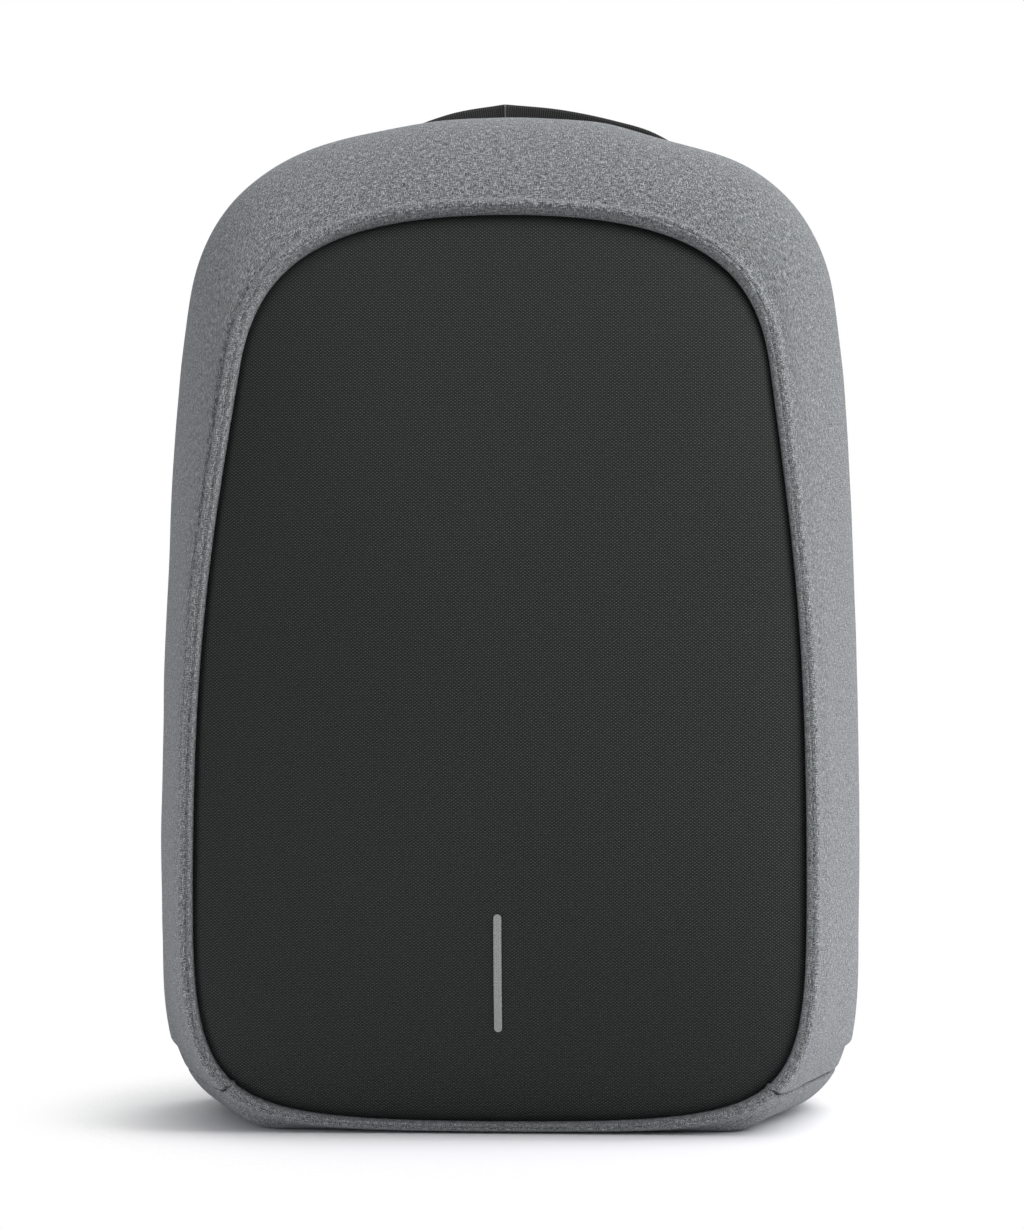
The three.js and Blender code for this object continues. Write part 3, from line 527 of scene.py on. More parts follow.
# ---- Seam stitches and painted seam shade
# The gusset and the base are sewn together edge to edge, with short dark stitches in the dip of the
# seam. They are set so close that they read as one dark line: partly real stitches, partly painted
# shade standing in for the shadow between the two cloths.
def repeat_tree():
    """Rounded grains set along a line at a pitch: stitches, or the coil of a zip."""
    tree = bpy.data.node_groups.new("grains_along_a_line", "GeometryNodeTree")
    tree.interface.new_socket("Geometry", in_out="INPUT", socket_type="NodeSocketGeometry")
    for title in ("Pitch", "Along", "Across", "High", "Skew"):
        tree.interface.new_socket(title, in_out="INPUT", socket_type="NodeSocketFloat")
    tree.interface.new_socket("Finish", in_out="INPUT", socket_type="NodeSocketMaterial")
    tree.interface.new_socket("Geometry", in_out="OUTPUT", socket_type="NodeSocketGeometry")

    def node(kind, settings, links):
        made = tree.nodes.new(kind)
        for key, value in settings.items():
            setattr(made, key, value)
        for key, value in links.items():
            if isinstance(value, bpy.types.NodeSocket):
                tree.links.new(value, made.inputs[key])
            else:
                made.inputs[key].default_value = value
        return made.outputs

    given = node("NodeGroupInput", {}, {})
    line = node("GeometryNodeMeshToCurve", {}, {"Mesh": given["Geometry"]})[0]
    spots = node("GeometryNodeResampleCurve", {"mode": "LENGTH"}, {
        "Curve": line, "Length": given["Pitch"]})[0]
    ball = node("GeometryNodeMeshUVSphere", {}, {"Segments": 6, "Rings": 4, "Radius": 0.5})[0]
    size = node("ShaderNodeCombineXYZ", {}, {
        0: given["Along"], 1: given["Across"], 2: given["High"]})[0]
    grain = node("GeometryNodeTransform", {}, {"Geometry": ball, "Scale": size})[0]
    tangent = node("GeometryNodeInputTangent", {}, {})[0]
    outward = node("GeometryNodeInputNamedAttribute", {"data_type": "FLOAT_VECTOR"}, {
        "Name": "outward"})[0]
    lie = node("FunctionNodeAlignRotationToVector", {"axis": "X"}, {"Vector": tangent})[0]
    face = node("FunctionNodeAlignRotationToVector", {"axis": "Z", "pivot_axis": "X"}, {
        "Rotation": lie, "Vector": outward})[0]
    back = node("ShaderNodeMath", {"operation": "MULTIPLY"}, {0: given["Skew"], 1: -1.0})[0]
    angle = node("FunctionNodeRandomValue", {"data_type": "FLOAT"}, {
        2: back, 3: given["Skew"], "Seed": 7})[1]
    turn = node("ShaderNodeCombineXYZ", {}, {2: angle})[0]
    askew = node("FunctionNodeRotateRotation", {"rotation_space": "LOCAL"}, {
        0: face, 1: turn})[0]
    grains = node("GeometryNodeInstanceOnPoints", {}, {
        "Points": spots, "Instance": grain, "Rotation": askew})[0]
    real = node("GeometryNodeRealizeInstances", {}, {"Geometry": grains})[0]
    done = node("GeometryNodeSetMaterial", {}, {"Geometry": real, "Material": given["Finish"]})[0]
    node("NodeGroupOutput", {}, {"Geometry": done})
    return tree


repeated = repeat_tree()


def made_mesh(piece):
    """The mesh that a piece's modifiers make of it."""
    return bpy.data.meshes.new_from_object(
        piece.evaluated_get(bpy.context.evaluated_depsgraph_get()))


def grains(name, lines, outwards, finish, pitch, along, across, high, skew=0.06):
    """One mesh of grains along lines of points in millimetres, each with its outward side."""
    points, edges, out = [], [], []
    for line, outward in zip(lines, outwards):
        start = len(points)
        points += (np.asarray(line) / 1000).tolist()
        out += np.broadcast_to(outward, np.shape(line)).tolist()
        edges += [(i, i + 1) for i in range(start, len(points) - 1)]
    mesh = bpy.data.meshes.new(name + "_line")
    mesh.from_pydata(points, edges, [])
    kept = mesh.attributes.new("outward", "FLOAT_VECTOR", "POINT")
    kept.data.foreach_set("vector", np.asarray(out, np.float32).ravel())
    piece = bpy.data.objects.new(name, mesh)
    scene.collection.objects.link(piece)
    row = piece.modifiers.new("row", "NODES")
    row.node_group = repeated
    given = {"Pitch": pitch, "Along": along, "Across": across, "High": high, "Skew": skew,
             "Finish": finish}
    for socket in repeated.interface.items_tree:
        if socket.in_out == "INPUT" and socket.name in given:
            value = given[socket.name]
            row[socket.identifier] = value / 1000 if socket.name in (
                "Pitch", "Along", "Across", "High") else value
    made = made_mesh(piece)
    piece.modifiers.clear()
    piece.data = made
    made.name = name
    made.polygons.foreach_set("use_smooth", [True] * len(made.polygons))
    bpy.data.meshes.remove(mesh)
    return piece


def fine_noise(finish, where, scale, detail=2.0, dimensions="3D"):
    """Noise from 0 to 1, with humps about 1 / scale metres apart."""
    return finish.node("ShaderNodeTexNoise", {"noise_dimensions": dimensions}, {
        "Vector": where, "Scale": scale, "Detail": detail})[0]


def thread_finish(name, dark, pale, scale=2600.0, detail=1.0, **uniform):
    """Thread or nylon whose twist shows in a darker and a paler tone."""
    finish = Finish(name, **uniform)
    twist = fine_noise(finish, object_place(finish), scale, detail)
    finish.feed(Base_Color=shades(finish, twist, [(0.35, dark), (0.65, pale)]))
    return finish.material


# Near-black thread: it paints the shade in the seam's dip as well as giving the stitches their
# colour
seam_shade_thread = thread_finish("seam_thread_and_painted_shade", (0.010, 0.011, 0.012), (0.05, 0.055, 0.058),
                            Roughness=0.8, Specular_IOR_Level=0.3)
SEAM_SINK = 0.9  # the stitches' depth below the cloth's face

seam_lines, seam_out = [], []
for hand in (1, -1):
    near = Stations([SEAM_SHARE, SEAM_SHARE + 0.0001], [hand, hand])
    rows = gusset_rows(near, np.linspace(0.05, 0.95, 120))
    away = grid_normals(rows, rows - BAG_MIDDLE)[:, 0]
    seam_lines.append(rows[:, 0] - away * SEAM_SINK)
    seam_out.append(away)
# The stitches run almost end to end, so that they paint the seam's dark shade line
seam_stitches_shade = grains("seam_stitches", seam_lines, seam_out, seam_shade_thread,
                     pitch=1.7, along=1.5, across=0.9, high=0.6)
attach(seam_stitches_shade, "root")


# ---- Front panel
# Coarse black cloth bonded to a moulded board that domes forward. Its edge drops into the groove
# behind the rolled rim.
PANEL_BULGE, PANEL_SET_BACK, PANEL_SHELL, PANEL_MIDDLE = 12.5, 2.2, 3.0, 0.43
EDGE_DROP, EDGE_FROM = 2.6, 0.965  # how far the cloth turns down at its edge, and from where
THREAD_ACROSS, THREAD_UP = 0.9, 0.66
panel_middle = BASE_BAND + (BODY_HEIGHT - TOP_RISE - BASE_BAND) * PANEL_MIDDLE


def panel_y(z, share):
    bulge = PANEL_BULGE * np.clip(1 - share ** 2, 0, None) ** 0.75
    return rim_y(z) + PANEL_SET_BACK * share ** 12 - bulge


ROUND_STEPS = 221  # up one side of the outline
round_share, round_hand = both_sides(np.linspace(0, 1, ROUND_STEPS))
whole_round = Stations(round_share[:-1], round_hand[:-1])
panel_edge = whole_round.at(0, 0)


def panel_ring(share, back):
    x = panel_edge[:, 0] * share
    z = panel_middle + (panel_edge[:, 2] - panel_middle) * share
    return np.stack([x, panel_y(z, share) + back, z], -1)


rings = [panel_ring(share, 0) for share in np.linspace(0.02, 0.9, 44)]
rings += [panel_ring(share, EDGE_DROP * max(0, (share - EDGE_FROM) / (1 - EDGE_FROM)) ** 2)
          for share in np.linspace(0.9, 1, 30)[1:]]
rings += [panel_ring(1, RIM_DEPTH - PANEL_SET_BACK)]
rings += [panel_ring(share, PANEL_SHELL + 0.6 * share) for share in (EDGE_FROM, 0.8, 0.45, 0.02)]
panel = skin("domed_panel", np.array(rings))

weave = Finish("coarse_black_cloth", Specular_IOR_Level=0.35)


def plain_weave(across, up, warp_tone=1.0):
    """Height from 0 to 1 of a plain weave, for coordinates counted in threads."""
    over = [(side * math.pi).maths("COSINE") for side in (across, up)]
    lift = over[0] * over[1] * 0.5
    warp = over[0].maths("ABSOLUTE") ** 0.6 * (lift + 0.5) * warp_tone
    weft = over[1].maths("ABSOLUTE") ** 0.6 * (0.5 - lift)
    return warp.maths("MAXIMUM", weft)


spot = object_place(weave)
x, _, z = weave.node("ShaderNodeSeparateXYZ", {}, {0: spot})
threads = plain_weave(x * (1000 / THREAD_ACROSS), z * (1000 / THREAD_UP), 0.42)
uneven = fine_noise(weave, spot, 900.0)
patchy = fine_noise(weave, spot, 9.0, 1.0)
relief = threads ** 1.4 + uneven * 0.16
weave.feed(
    Base_Color=shades(weave, relief, [
        (0.16, (0.0016, 0.0020, 0.0019)),
        (0.50, (0.0055, 0.0067, 0.0064)),
        (0.95, (0.045, 0.053, 0.0505)),
    ]),
    Roughness=patchy * 0.12 + 0.82 - relief * 0.48,
    Normal=raised(weave, 0.8, 0.0003, relief))
panel.data.materials.append(weave.material)
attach(panel, "root")
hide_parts("front_panel")


# ---- Reflective strip
# A narrow bar of silver film with round ends, pressed onto the cloth of the panel on its middle
# line, so it follows the dome and the weave shows through a little.
STRIP_WIDTH, STRIP_LENGTH, STRIP_BOTTOM, STRIP_THICK = 3.4, 51.8, 46.7, 0.5

radius = STRIP_WIDTH / 2
turn = np.linspace(0, math.pi / 2, 13)
foot = radius * (1 - np.cos(turn))
rise = np.concatenate([foot[:-1], np.linspace(radius, STRIP_LENGTH - radius, 60),
                       STRIP_LENGTH - foot[-2::-1]])
rise[0], rise[-1] = 0.02, STRIP_LENGTH - 0.02
from_end = np.minimum(np.minimum(rise, STRIP_LENGTH - rise), radius)
half = np.sqrt(np.clip(radius ** 2 - (radius - from_end) ** 2, 1e-4, None))
up_length = panel_outline.points[-1, 1] - panel_middle
down_length = panel_middle - panel_outline.points[0, 1]
z_line = STRIP_BOTTOM + rise
reach = np.where(z_line > panel_middle, up_length, down_length)
face_y = panel_y(z_line, np.abs(z_line - panel_middle) / reach)
STRIP_LOOP = [
    # share of its half width, share of its thickness back from its place
    (-1, 0.1), (-1, -0.25), (-0.93, -0.42), (-0.8, -0.5), (-0.4, -0.52), (0, -0.52),
    (0.4, -0.52), (0.8, -0.5), (0.93, -0.42), (1, -0.25), (1, 0.1), (0, 0.1),
]
strip_grid = np.array([[half * a, face_y - CLEAR + STRIP_THICK * b, z_line]
                       for a, b in STRIP_LOOP]).transpose(2, 0, 1)
strip = skin("silver_bar", strip_grid)
film = Finish("silver_film", Specular_IOR_Level=0.5)
spot = object_place(film)
x, _, z = film.node("ShaderNodeSeparateXYZ", {}, {0: spot})
print_through = plain_weave(x * (1000 / THREAD_ACROSS), z * (1000 / THREAD_UP))
beads = fine_noise(film, spot, 3000.0)
film.feed(
    Base_Color=shades(film, print_through * 0.5 + beads * 0.5, [
        (0.3, (0.195, 0.195, 0.195)), (0.75, (0.295, 0.295, 0.295))]),
    Roughness=beads * 0.3 + 0.35,
    Normal=raised(film, 0.3, 0.0002, print_through))
strip.data.materials.append(film.material)
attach(strip, "root")
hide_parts("reflective_strip")


# ---- Back border
# A black bound ring that holds the gusset, the zip and the back panel together, all round the
# back, with a row of stitches along it.
BORDER_DEPTH, BORDER_WIDTH = 8, 6.5
STITCHED_AT = 0.68  # share of the border's width
border_front, border_back = BACK_EDGE_Y + CLEAR, BACK_EDGE_Y + BORDER_DEPTH
BORDER_LOOP = [
    # share of its width inwards, share of its depth back
    (0, 0), (0, 0.35), (0.04, 0.62), (0.14, 0.84), (0.3, 0.97), (0.5, 1.0), (0.72, 0.97),
    (0.88, 0.86), (0.97, 0.66), (1, 0.4), (1, 0), (0.5, 0),
]
border_grid = np.array([whole_round.between(
    BACK_EDGE, -CLEAR - inset * BORDER_WIDTH, border_front + (border_back - border_front) * deep)
    for inset, deep in BORDER_LOOP]).transpose(1, 0, 2)
border = skin("bound_border", border_grid, ring=True)


def toned(colour, share):
    return tuple(share * part for part in colour)


def black_cloth(name, colour, thread, roughness=0.85):
    """Plain black woven cloth on the piece's own UV map; thread is its pitch in millimetres."""
    cloth = Finish(name, Specular_IOR_Level=0.2, Sheen_Weight=0.08, Sheen_Roughness=0.5)
    flat = cloth_place(cloth)
    along, across, _ = cloth.node("ShaderNodeSeparateXYZ", {}, {0: flat})
    woven = plain_weave(along * (1000 / thread), across * (1000 / thread))
    fluff = fine_noise(cloth, flat, 1100.0, dimensions="2D")
    faded = fine_noise(cloth, flat, 22.0, dimensions="2D")
    tone = woven * 0.5 + fluff * 0.35 + faded * 0.25
    cloth.feed(
        Base_Color=shades(cloth, tone, [
            (0.2, toned(colour, 0.45)), (0.65, colour), (0.95, toned(colour, 1.9))]),
        Roughness=faded * 0.2 + (roughness - 0.1),
        Normal=raised(cloth, 0.6, 0.00025, woven + fluff * 0.4))
    return cloth.material


binding = black_cloth("black_binding", (0.013, 0.0132, 0.014), 0.55)
border.data.materials.append(binding)
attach(border, "root")
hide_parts("back_border")

black_thread = thread_finish("black_thread", (0.018, 0.018, 0.019), (0.05, 0.05, 0.053),
                             Roughness=0.6, Specular_IOR_Level=0.4)
line = whole_round.between(BACK_EDGE, -CLEAR - STITCHED_AT * BORDER_WIDTH, border_back - 0.05)
border_thread = grains("border_stitches", [np.concatenate([line, line[:1]])], [(0, 1, 0)],
                       black_thread, pitch=3.4, along=2.4, across=0.5, high=0.45)
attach(border_thread, "root")


# ---- Zip
# A nylon coil zip on black tape, laid over the edge of the border from above one base corner
# round the top to the other. At both ends the tape is turned in and thicker.
ZIP_WIDTH, ZIP_THICK, ZIP_END_THICK, ZIP_END_SHARE = 6, 2.2, 5.4, 0.22
ZIP_LOOP = [
    # share of its thickness out, share of its width back
    (0.0, 0.0), (0.45, 0.02), (0.72, 0.1), (0.8, 0.24), (0.8, 0.36), (0.62, 0.4), (0.62, 0.6),
    (0.8, 0.64), (0.76, 0.8), (0.55, 0.96), (0.2, 1.0), (0.0, 0.6),
]
COIL_OUT, COIL_BACK = 0.66, 0.5  # shares of the zip's thickness and width
ZIP_STEPS, TAPER_STEPS, COIL_FROM = 240, 34, 24  # up one side, along an end, to the coil's start
zip_share, zip_hand = both_sides(np.linspace(ZIP_END_SHARE, 1, ZIP_STEPS))
zip_line = Stations(zip_share, zip_hand)
step = np.arange(len(zip_share))
from_end = np.minimum(step, step[::-1]) / TAPER_STEPS
thick = ZIP_END_THICK + (ZIP_THICK - ZIP_END_THICK) * np.clip(from_end, 0, 1) ** 1.5
zip_grid = np.array([zip_line.between(BACK_EDGE, out * thick, border_front + ZIP_WIDTH * back)
                     for out, back in ZIP_LOOP]).transpose(1, 0, 2)
tape = skin("zip_tape", zip_grid)
tape.data.materials.append(black_cloth("zip_tape_cloth", (0.010, 0.010, 0.011), 0.4, 0.75))
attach(tape, "root")
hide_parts("zip")

inside = slice(COIL_FROM, -COIL_FROM)
coil_y = border_front + ZIP_WIDTH * COIL_BACK
coil_line = zip_line.between(BACK_EDGE, COIL_OUT * thick, coil_y)[inside]
coil_out = coil_line - zip_line.between(BACK_EDGE, 0, coil_y)[inside]
coil_out /= np.linalg.norm(coil_out, axis=1)[:, None]
nylon = thread_finish("black_nylon", (0.008, 0.008, 0.009), (0.02, 0.02, 0.021), 300.0, 2.0,
                      Roughness=0.35, Specular_IOR_Level=0.5)
coil = grains("zip_coil", [coil_line], [coil_out], nylon,
              pitch=1.15, along=0.85, across=1.9, high=0.8, skew=0.0)
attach(coil, "root")


# ---- Back panel
# A firm board covered in black cloth, set inside the border with its edge just below it.
BACK_PLATE, BACK_THREAD = 6, 0.6
FALL, FALL_FROM = 1.3, 0.96  # how far the cloth turns down at its edge, and from where
plate_edge = whole_round.between(BACK_EDGE, -BORDER_WIDTH - 2 * CLEAR, border_back)
plate_middle = np.array([0, border_back, BODY_HEIGHT / 2])


def plate_ring(share, y):
    ring = plate_middle + (plate_edge - plate_middle) * share
    ring[:, 1] = y
    return ring


shares = np.concatenate([np.linspace(0.03, 0.94, 26), [0.96, 0.975, 0.985, 0.992, 0.998, 1.0]])
plate_rings = [plate_ring(s, border_back - FALL * max(0, (s - FALL_FROM) / (1 - FALL_FROM)) ** 2)
               for s in shares]
plate_rings += [plate_ring(s, border_back - BACK_PLATE) for s in (1, 0.5, 0.03)]
plate = skin("back_board", np.array(plate_rings))
plate_cloth = Finish("black_back_cloth", Specular_IOR_Level=0.2, Sheen_Weight=0.08)
spot = object_place(plate_cloth)
x, _, z = plate_cloth.node("ShaderNodeSeparateXYZ", {}, {0: spot})
woven = plain_weave(x * (1000 / BACK_THREAD), z * (1000 / BACK_THREAD))
fluff = fine_noise(plate_cloth, spot, 900.0)
plate_cloth.feed(
    Base_Color=shades(plate_cloth, woven * 0.55 + fluff * 0.45, [
        (0.2, (0.006, 0.006, 0.0065)), (0.65, (0.0125, 0.0128, 0.0135)),
        (0.95, (0.024, 0.0245, 0.026))]),
    Roughness=fluff * 0.2 + 0.75,
    Normal=raised(plate_cloth, 0.6, 0.0003, woven + fluff * 0.4))
plate.data.materials.append(plate_cloth.material)
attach(plate, "root")
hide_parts("back_panel")


# ---- Back pad
# Two foam cushions under black spacer mesh, sewn to the back panel round their edges and down the
# channel between them. Each is blown up by a cloth simulation and then sewn flat at its border.
PAD_THICK, PAD_HALF, PAD_BOTTOM, PAD_TOP = 10, 104, 26, 363
PAD_CHANNEL, PAD_CORNER, PAD_INSET = 7, 24, 16
CUSHION_INSET, CUSHION_EDGE, CUSHION_RISE = 4.5, 0.4, 5.8  # before it is blown up
CUSHION_SHOULDER, SIDES = 9, ((1, "right"), (-1, "left"))
VOXEL = 0.0045  # metres between the points of the mesh that is blown up
SWELL_FRAMES, SWELL_PRESSURE, SWELL_REACH = 20, 4, 4.5
SEWN_HEIGHT = 1.2  # what is lower than this above the panel is held
STITCH_INSET, FLANGE_THICK = 3.8, 1.5
pad_face = border_back + CLEAR


def plate_half(z):
    right = plate_edge[:ROUND_STEPS]
    return np.interp(z, right[:, 2], right[:, 0])


def pad_outline(inset, count=132):
    """One cushion's outline, from its channel side round, inset all round by so much."""
    z = np.linspace(PAD_BOTTOM + inset, PAD_TOP - inset, count)
    from_end = np.minimum(np.minimum(z - z[0], z[-1] - z), PAD_CORNER)
    corner = PAD_CORNER - np.sqrt(np.clip(PAD_CORNER ** 2 - (PAD_CORNER - from_end) ** 2, 0, None))
    outer = np.minimum(PAD_HALF, plate_half(z) - PAD_INSET) - inset - corner
    inner = np.full_like(z, PAD_CHANNEL + inset) + 0.25 * corner
    return z, inner, outer


def pad_skin(name, x, z, lift):
    """A closed skin with its upper face at lift above the panel, and its lower one on it."""
    high = np.broadcast_to(z[:, None], x.shape)
    face = np.stack([x, pad_face + lift, high], -1)
    under = np.stack([x, np.full_like(x, pad_face), high], -1)
    return skin(name, np.concatenate([face, under[:, ::-1]], 1))


def flat_cushion(name, hand):
    z, inner, outer = pad_outline(CUSHION_INSET)
    across = np.linspace(0, 1, 34)
    x = inner[:, None] + (outer - inner)[:, None] * across
    edge = np.minimum(across, 1 - across) * (outer - inner)[:, None]
    end = np.minimum(z - z[0], z[-1] - z)[:, None]
    near = np.clip(np.minimum(edge, end) / CUSHION_SHOULDER, 0, 1)
    return pad_skin(name, x * hand, z, CUSHION_EDGE + CUSHION_RISE * (1 - (1 - near) ** 2) ** 0.5)


def inflate(piece):
    """Points of a closed piece that is swollen as cloth under pressure, each by a limited way."""
    shrink = piece.modifiers.new("even", "REMESH")
    shrink.mode = "VOXEL"
    shrink.voxel_size = VOXEL
    even = made_mesh(piece)
    piece.modifiers.clear()
    piece.data = even
    start = np.zeros(len(even.vertices) * 3)
    even.vertices.foreach_get("co", start)
    start = start.reshape(-1, 3)
    held = piece.vertex_groups.new(name="sewn")
    held.add([i for i, p in enumerate(start) if p[1] < (pad_face + SEWN_HEIGHT) / 1000],
             1.0, "REPLACE")
    cloth = piece.modifiers.new("cloth", "CLOTH")
    cloth.settings.quality = 6
    cloth.settings.mass = 0.25
    cloth.settings.tension_stiffness = 30
    cloth.settings.compression_stiffness = 30
    cloth.settings.shear_stiffness = 8
    cloth.settings.bending_stiffness = 4
    cloth.settings.use_pressure = True
    cloth.settings.uniform_pressure_force = SWELL_PRESSURE
    cloth.settings.vertex_group_mass = "sewn"
    cloth.settings.effector_weights.gravity = 0
    for number in range(1, SWELL_FRAMES + 1):
        scene.frame_set(number)
    swollen = made_mesh(piece)
    moved = np.zeros(len(even.vertices) * 3)
    swollen.vertices.foreach_get("co", moved)
    piece.modifiers.clear()
    piece.vertex_groups.clear()
    scene.frame_set(1)
    shift = moved.reshape(-1, 3) - start
    size = np.linalg.norm(shift, axis=1)[:, None] + 1e-9
    start = start + shift * np.minimum(1, SWELL_REACH / 1000 / size)
    bpy.data.meshes.remove(swollen)
    return start


pad_meshes = []
for hand, word in SIDES:
    cushion = flat_cushion("cushion_" + word, hand)
    points = inflate(cushion)
    points[:, 1] = np.clip(points[:, 1], pad_face / 1000, (pad_face + PAD_THICK - 0.2) / 1000)
    cushion.data.vertices.foreach_set("co", points.ravel())
    cushion.data.update()
    smooth = cushion.modifiers.new("smooth", "SUBSURF")
    smooth.levels = smooth.render_levels = 1
    done = made_mesh(cushion)
    cushion.modifiers.clear()
    cushion.data = done
    done.polygons.foreach_set("use_smooth", [True] * len(done.polygons))
    pad_meshes.append(cushion)

z, _, outer = pad_outline(0)
across = np.concatenate([np.linspace(0, 0.12, 8), np.linspace(0.12, 1, 30)[1:]])
across = np.concatenate([-across[::-1], across[1:]])
half = outer[:, None]
x = across[None, :] * half
rim_gap = np.minimum(half - np.abs(x), np.minimum(z - z[0], z[-1] - z)[:, None])
flange = pad_skin("pad_flange", x, z,
                  FLANGE_THICK * np.clip(rim_gap / FLANGE_THICK, 0.05, 1) ** 0.5)

mesh_cloth = Finish("black_spacer_mesh", Roughness=0.85, Specular_IOR_Level=0.2)
spot = object_place(mesh_cloth)
x, _, z = mesh_cloth.node("ShaderNodeSeparateXYZ", {}, {0: spot})
HOLE_PITCH = 2.6
wave = [(side * (2 * math.pi * 1000 / HOLE_PITCH)).maths("COSINE") for side in (
    x, x * 0.5 + z * 0.866, x * -0.5 + z * 0.866)]
cells = wave[0] + wave[1] + wave[2]
hole = mesh_cloth.node("ShaderNodeMapRange", {"interpolation_type": "SMOOTHSTEP"}, {
    0: cells, 1: 0.3, 2: 1.9, 3: 1.0, 4: 0.0})[0]
knit = fine_noise(mesh_cloth, spot, 1500.0)
mesh_cloth.feed(
    Base_Color=shades(mesh_cloth, hole * 0.75 + knit * 0.25, [
        (0.0, (0.002, 0.002, 0.002)), (0.5, (0.012, 0.012, 0.0125)),
        (1.0, (0.028, 0.028, 0.030))]),
    Normal=raised(mesh_cloth, 0.8, 0.0006, hole + knit * 0.25))
for piece in (*pad_meshes, flange):
    piece.data.materials.clear()
    piece.data.materials.append(mesh_cloth.material)
    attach(piece, "root")
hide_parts("back_pad")

pad_lines = []
for hand in (1, -1):
    z, inner, outer = pad_outline(STITCH_INSET, 160)
    loop_x = np.concatenate([outer, inner[::-1], outer[:1]]) * hand
    loop_z = np.concatenate([z, z[::-1], z[:1]])
    pad_lines.append(np.stack([loop_x, np.full_like(loop_x, pad_face + 1.55), loop_z], -1))
pad_thread = grains("pad_stitches", pad_lines, [(0, 1, 0)] * 2, black_thread,
                    pitch=3.6, along=2.6, across=0.5, high=0.45)
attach(pad_thread, "root")


# ---- Carrying handle
# Ribbed black webbing that stands on edge above the back, folded once at its middle. Its ends
# are sewn flat to the back panel.
HANDLE_WIDTH, HANDLE_THICK, HANDLE_SPAN, HANDLE_TOP, HANDLE_FALL = 20, 2.4, 180, 450, 46
HANDLE_FOLD_X = -4
HANDLE_STEPS = 110  # along each half
CREASE_REACH, CREASE_DEPTH, YARN = 1.6, 0.5, 0.9  # the first counted in steps
HANDLE_ROWS = [
    # share of the half span out, share of the fall on the left and on the right
    (0.0, 0.0, 0.0), (0.25, 0.08, 0.05), (0.5, 0.25, 0.155), (0.68, 0.42, 0.27),
    (0.84, 0.63, 0.5), (0.93, 0.81, 0.8), (1.0, 1.0, 1.0),
]


def flow(points, count):
    """A smooth line through points, drawn again with count points an even way apart."""
    points = np.asarray(points, float)
    knots = np.concatenate([[0], np.cumsum(np.linalg.norm(np.diff(points, axis=0), axis=1) ** 0.5)])
    fine = np.linspace(0, knots[-1], 40 * len(points))
    line = smooth_rows(points[:, None, :], knots, fine)[:, 0]
    run = np.concatenate([[0], np.cumsum(np.linalg.norm(np.diff(line, axis=0), axis=1))])
    even = np.linspace(0, run[-1], count)
    return np.stack([np.interp(even, run, line[:, i]) for i in range(points.shape[1])], -1)


handle_line = [(HANDLE_FOLD_X + (-HANDLE_SPAN / 2 - HANDLE_FOLD_X) * out,
                HANDLE_TOP - HANDLE_WIDTH / 2 - HANDLE_FALL * left)
               for out, left, _ in HANDLE_ROWS[::-1]]
handle_line += [(HANDLE_FOLD_X + (HANDLE_SPAN / 2 - HANDLE_FOLD_X) * out,
                 HANDLE_TOP - HANDLE_WIDTH / 2 - HANDLE_FALL * right)
                for out, _, right in HANDLE_ROWS[1:]]
middle = len(HANDLE_ROWS)
left_half = flow(handle_line[:middle], HANDLE_STEPS)
right_half = flow(handle_line[middle - 1:], HANDLE_STEPS)
line = np.concatenate([left_half, right_half[1:]])
slope = np.gradient(line, axis=0)
slope /= np.linalg.norm(slope, axis=1)[:, None]
up = np.stack([-slope[:, 1], slope[:, 0]], -1)
crease = np.exp(-((np.arange(len(line)) - (HANDLE_STEPS - 1)) / CREASE_REACH) ** 2)
RIBBON = [
    # share of the half width, share of the half thickness
    (-1, 0), (-0.985, 0.55), (-0.94, 0.9), (-0.86, 1), (-0.4, 0.94), (0, 0.92), (0.4, 0.94),
    (0.86, 1), (0.94, 0.9), (0.985, 0.55), (1, 0), (0.985, -0.55), (0.94, -0.9), (0.86, -1),
    (0.4, -0.94), (0, -0.92), (-0.4, -0.94), (-0.86, -1), (-0.94, -0.9), (-0.985, -0.55),
]
handle_mid = border_back + CLEAR + HANDLE_THICK / 2
handle_grid = np.array([np.stack([
    line[:, 0] + up[:, 0] * a * HANDLE_WIDTH / 2,
    handle_mid - crease * CREASE_DEPTH + 0.92 * b * HANDLE_THICK / 2,
    line[:, 1] + up[:, 1] * a * HANDLE_WIDTH / 2], -1) for a, b in RIBBON]).transpose(1, 0, 2)
grip = skin("webbing_handle", handle_grid)


def ribbed(name, rib, colour, fold=-1.0):
    """Black webbing: ribs across its length, a fine weave on them, and a painted highlight along
    the ridge of a fold.
    """
    strap = Finish(name, Specular_IOR_Level=0.35)
    flat = cloth_place(strap)
    along, across, _ = strap.node("ShaderNodeSeparateXYZ", {}, {0: flat})
    ribs = (along * (2 * math.pi * 1000 / rib)).maths("SINE") * 0.5 + 0.5
    yarn = (across * (2 * math.pi * 1000 / YARN)).maths("SINE") * 0.5 + 0.5
    fluff = fine_noise(strap, flat, 1300.0, dimensions="2D")
    relief = ribs * (yarn * 0.35 + 0.65) + fluff * 0.3
    # A lighter line painted along the fold: a painted highlight on the fold's ridge, not wear
    fold_highlight = strap.node("ShaderNodeMapRange", {"interpolation_type": "SMOOTHSTEP"}, {
        0: (along - fold).maths("ABSOLUTE"), 1: 0.0002, 2: 0.0007, 3: 0.5, 4: 0.0})[0]
    strap.feed(
        Base_Color=shades(strap, relief * 0.62 + fold_highlight, [
            (0.08, toned(colour, 0.3)), (0.46, colour),
            (0.78, toned(colour, 2.2)), (1.0, toned(colour, 7))]),
        Roughness=fluff * 0.25 + 0.5,
        Normal=raised(strap, 0.7, 0.0004, relief))
    return strap.material


fold_at = np.linalg.norm(np.diff(left_half, axis=0), axis=1).sum() / 1000
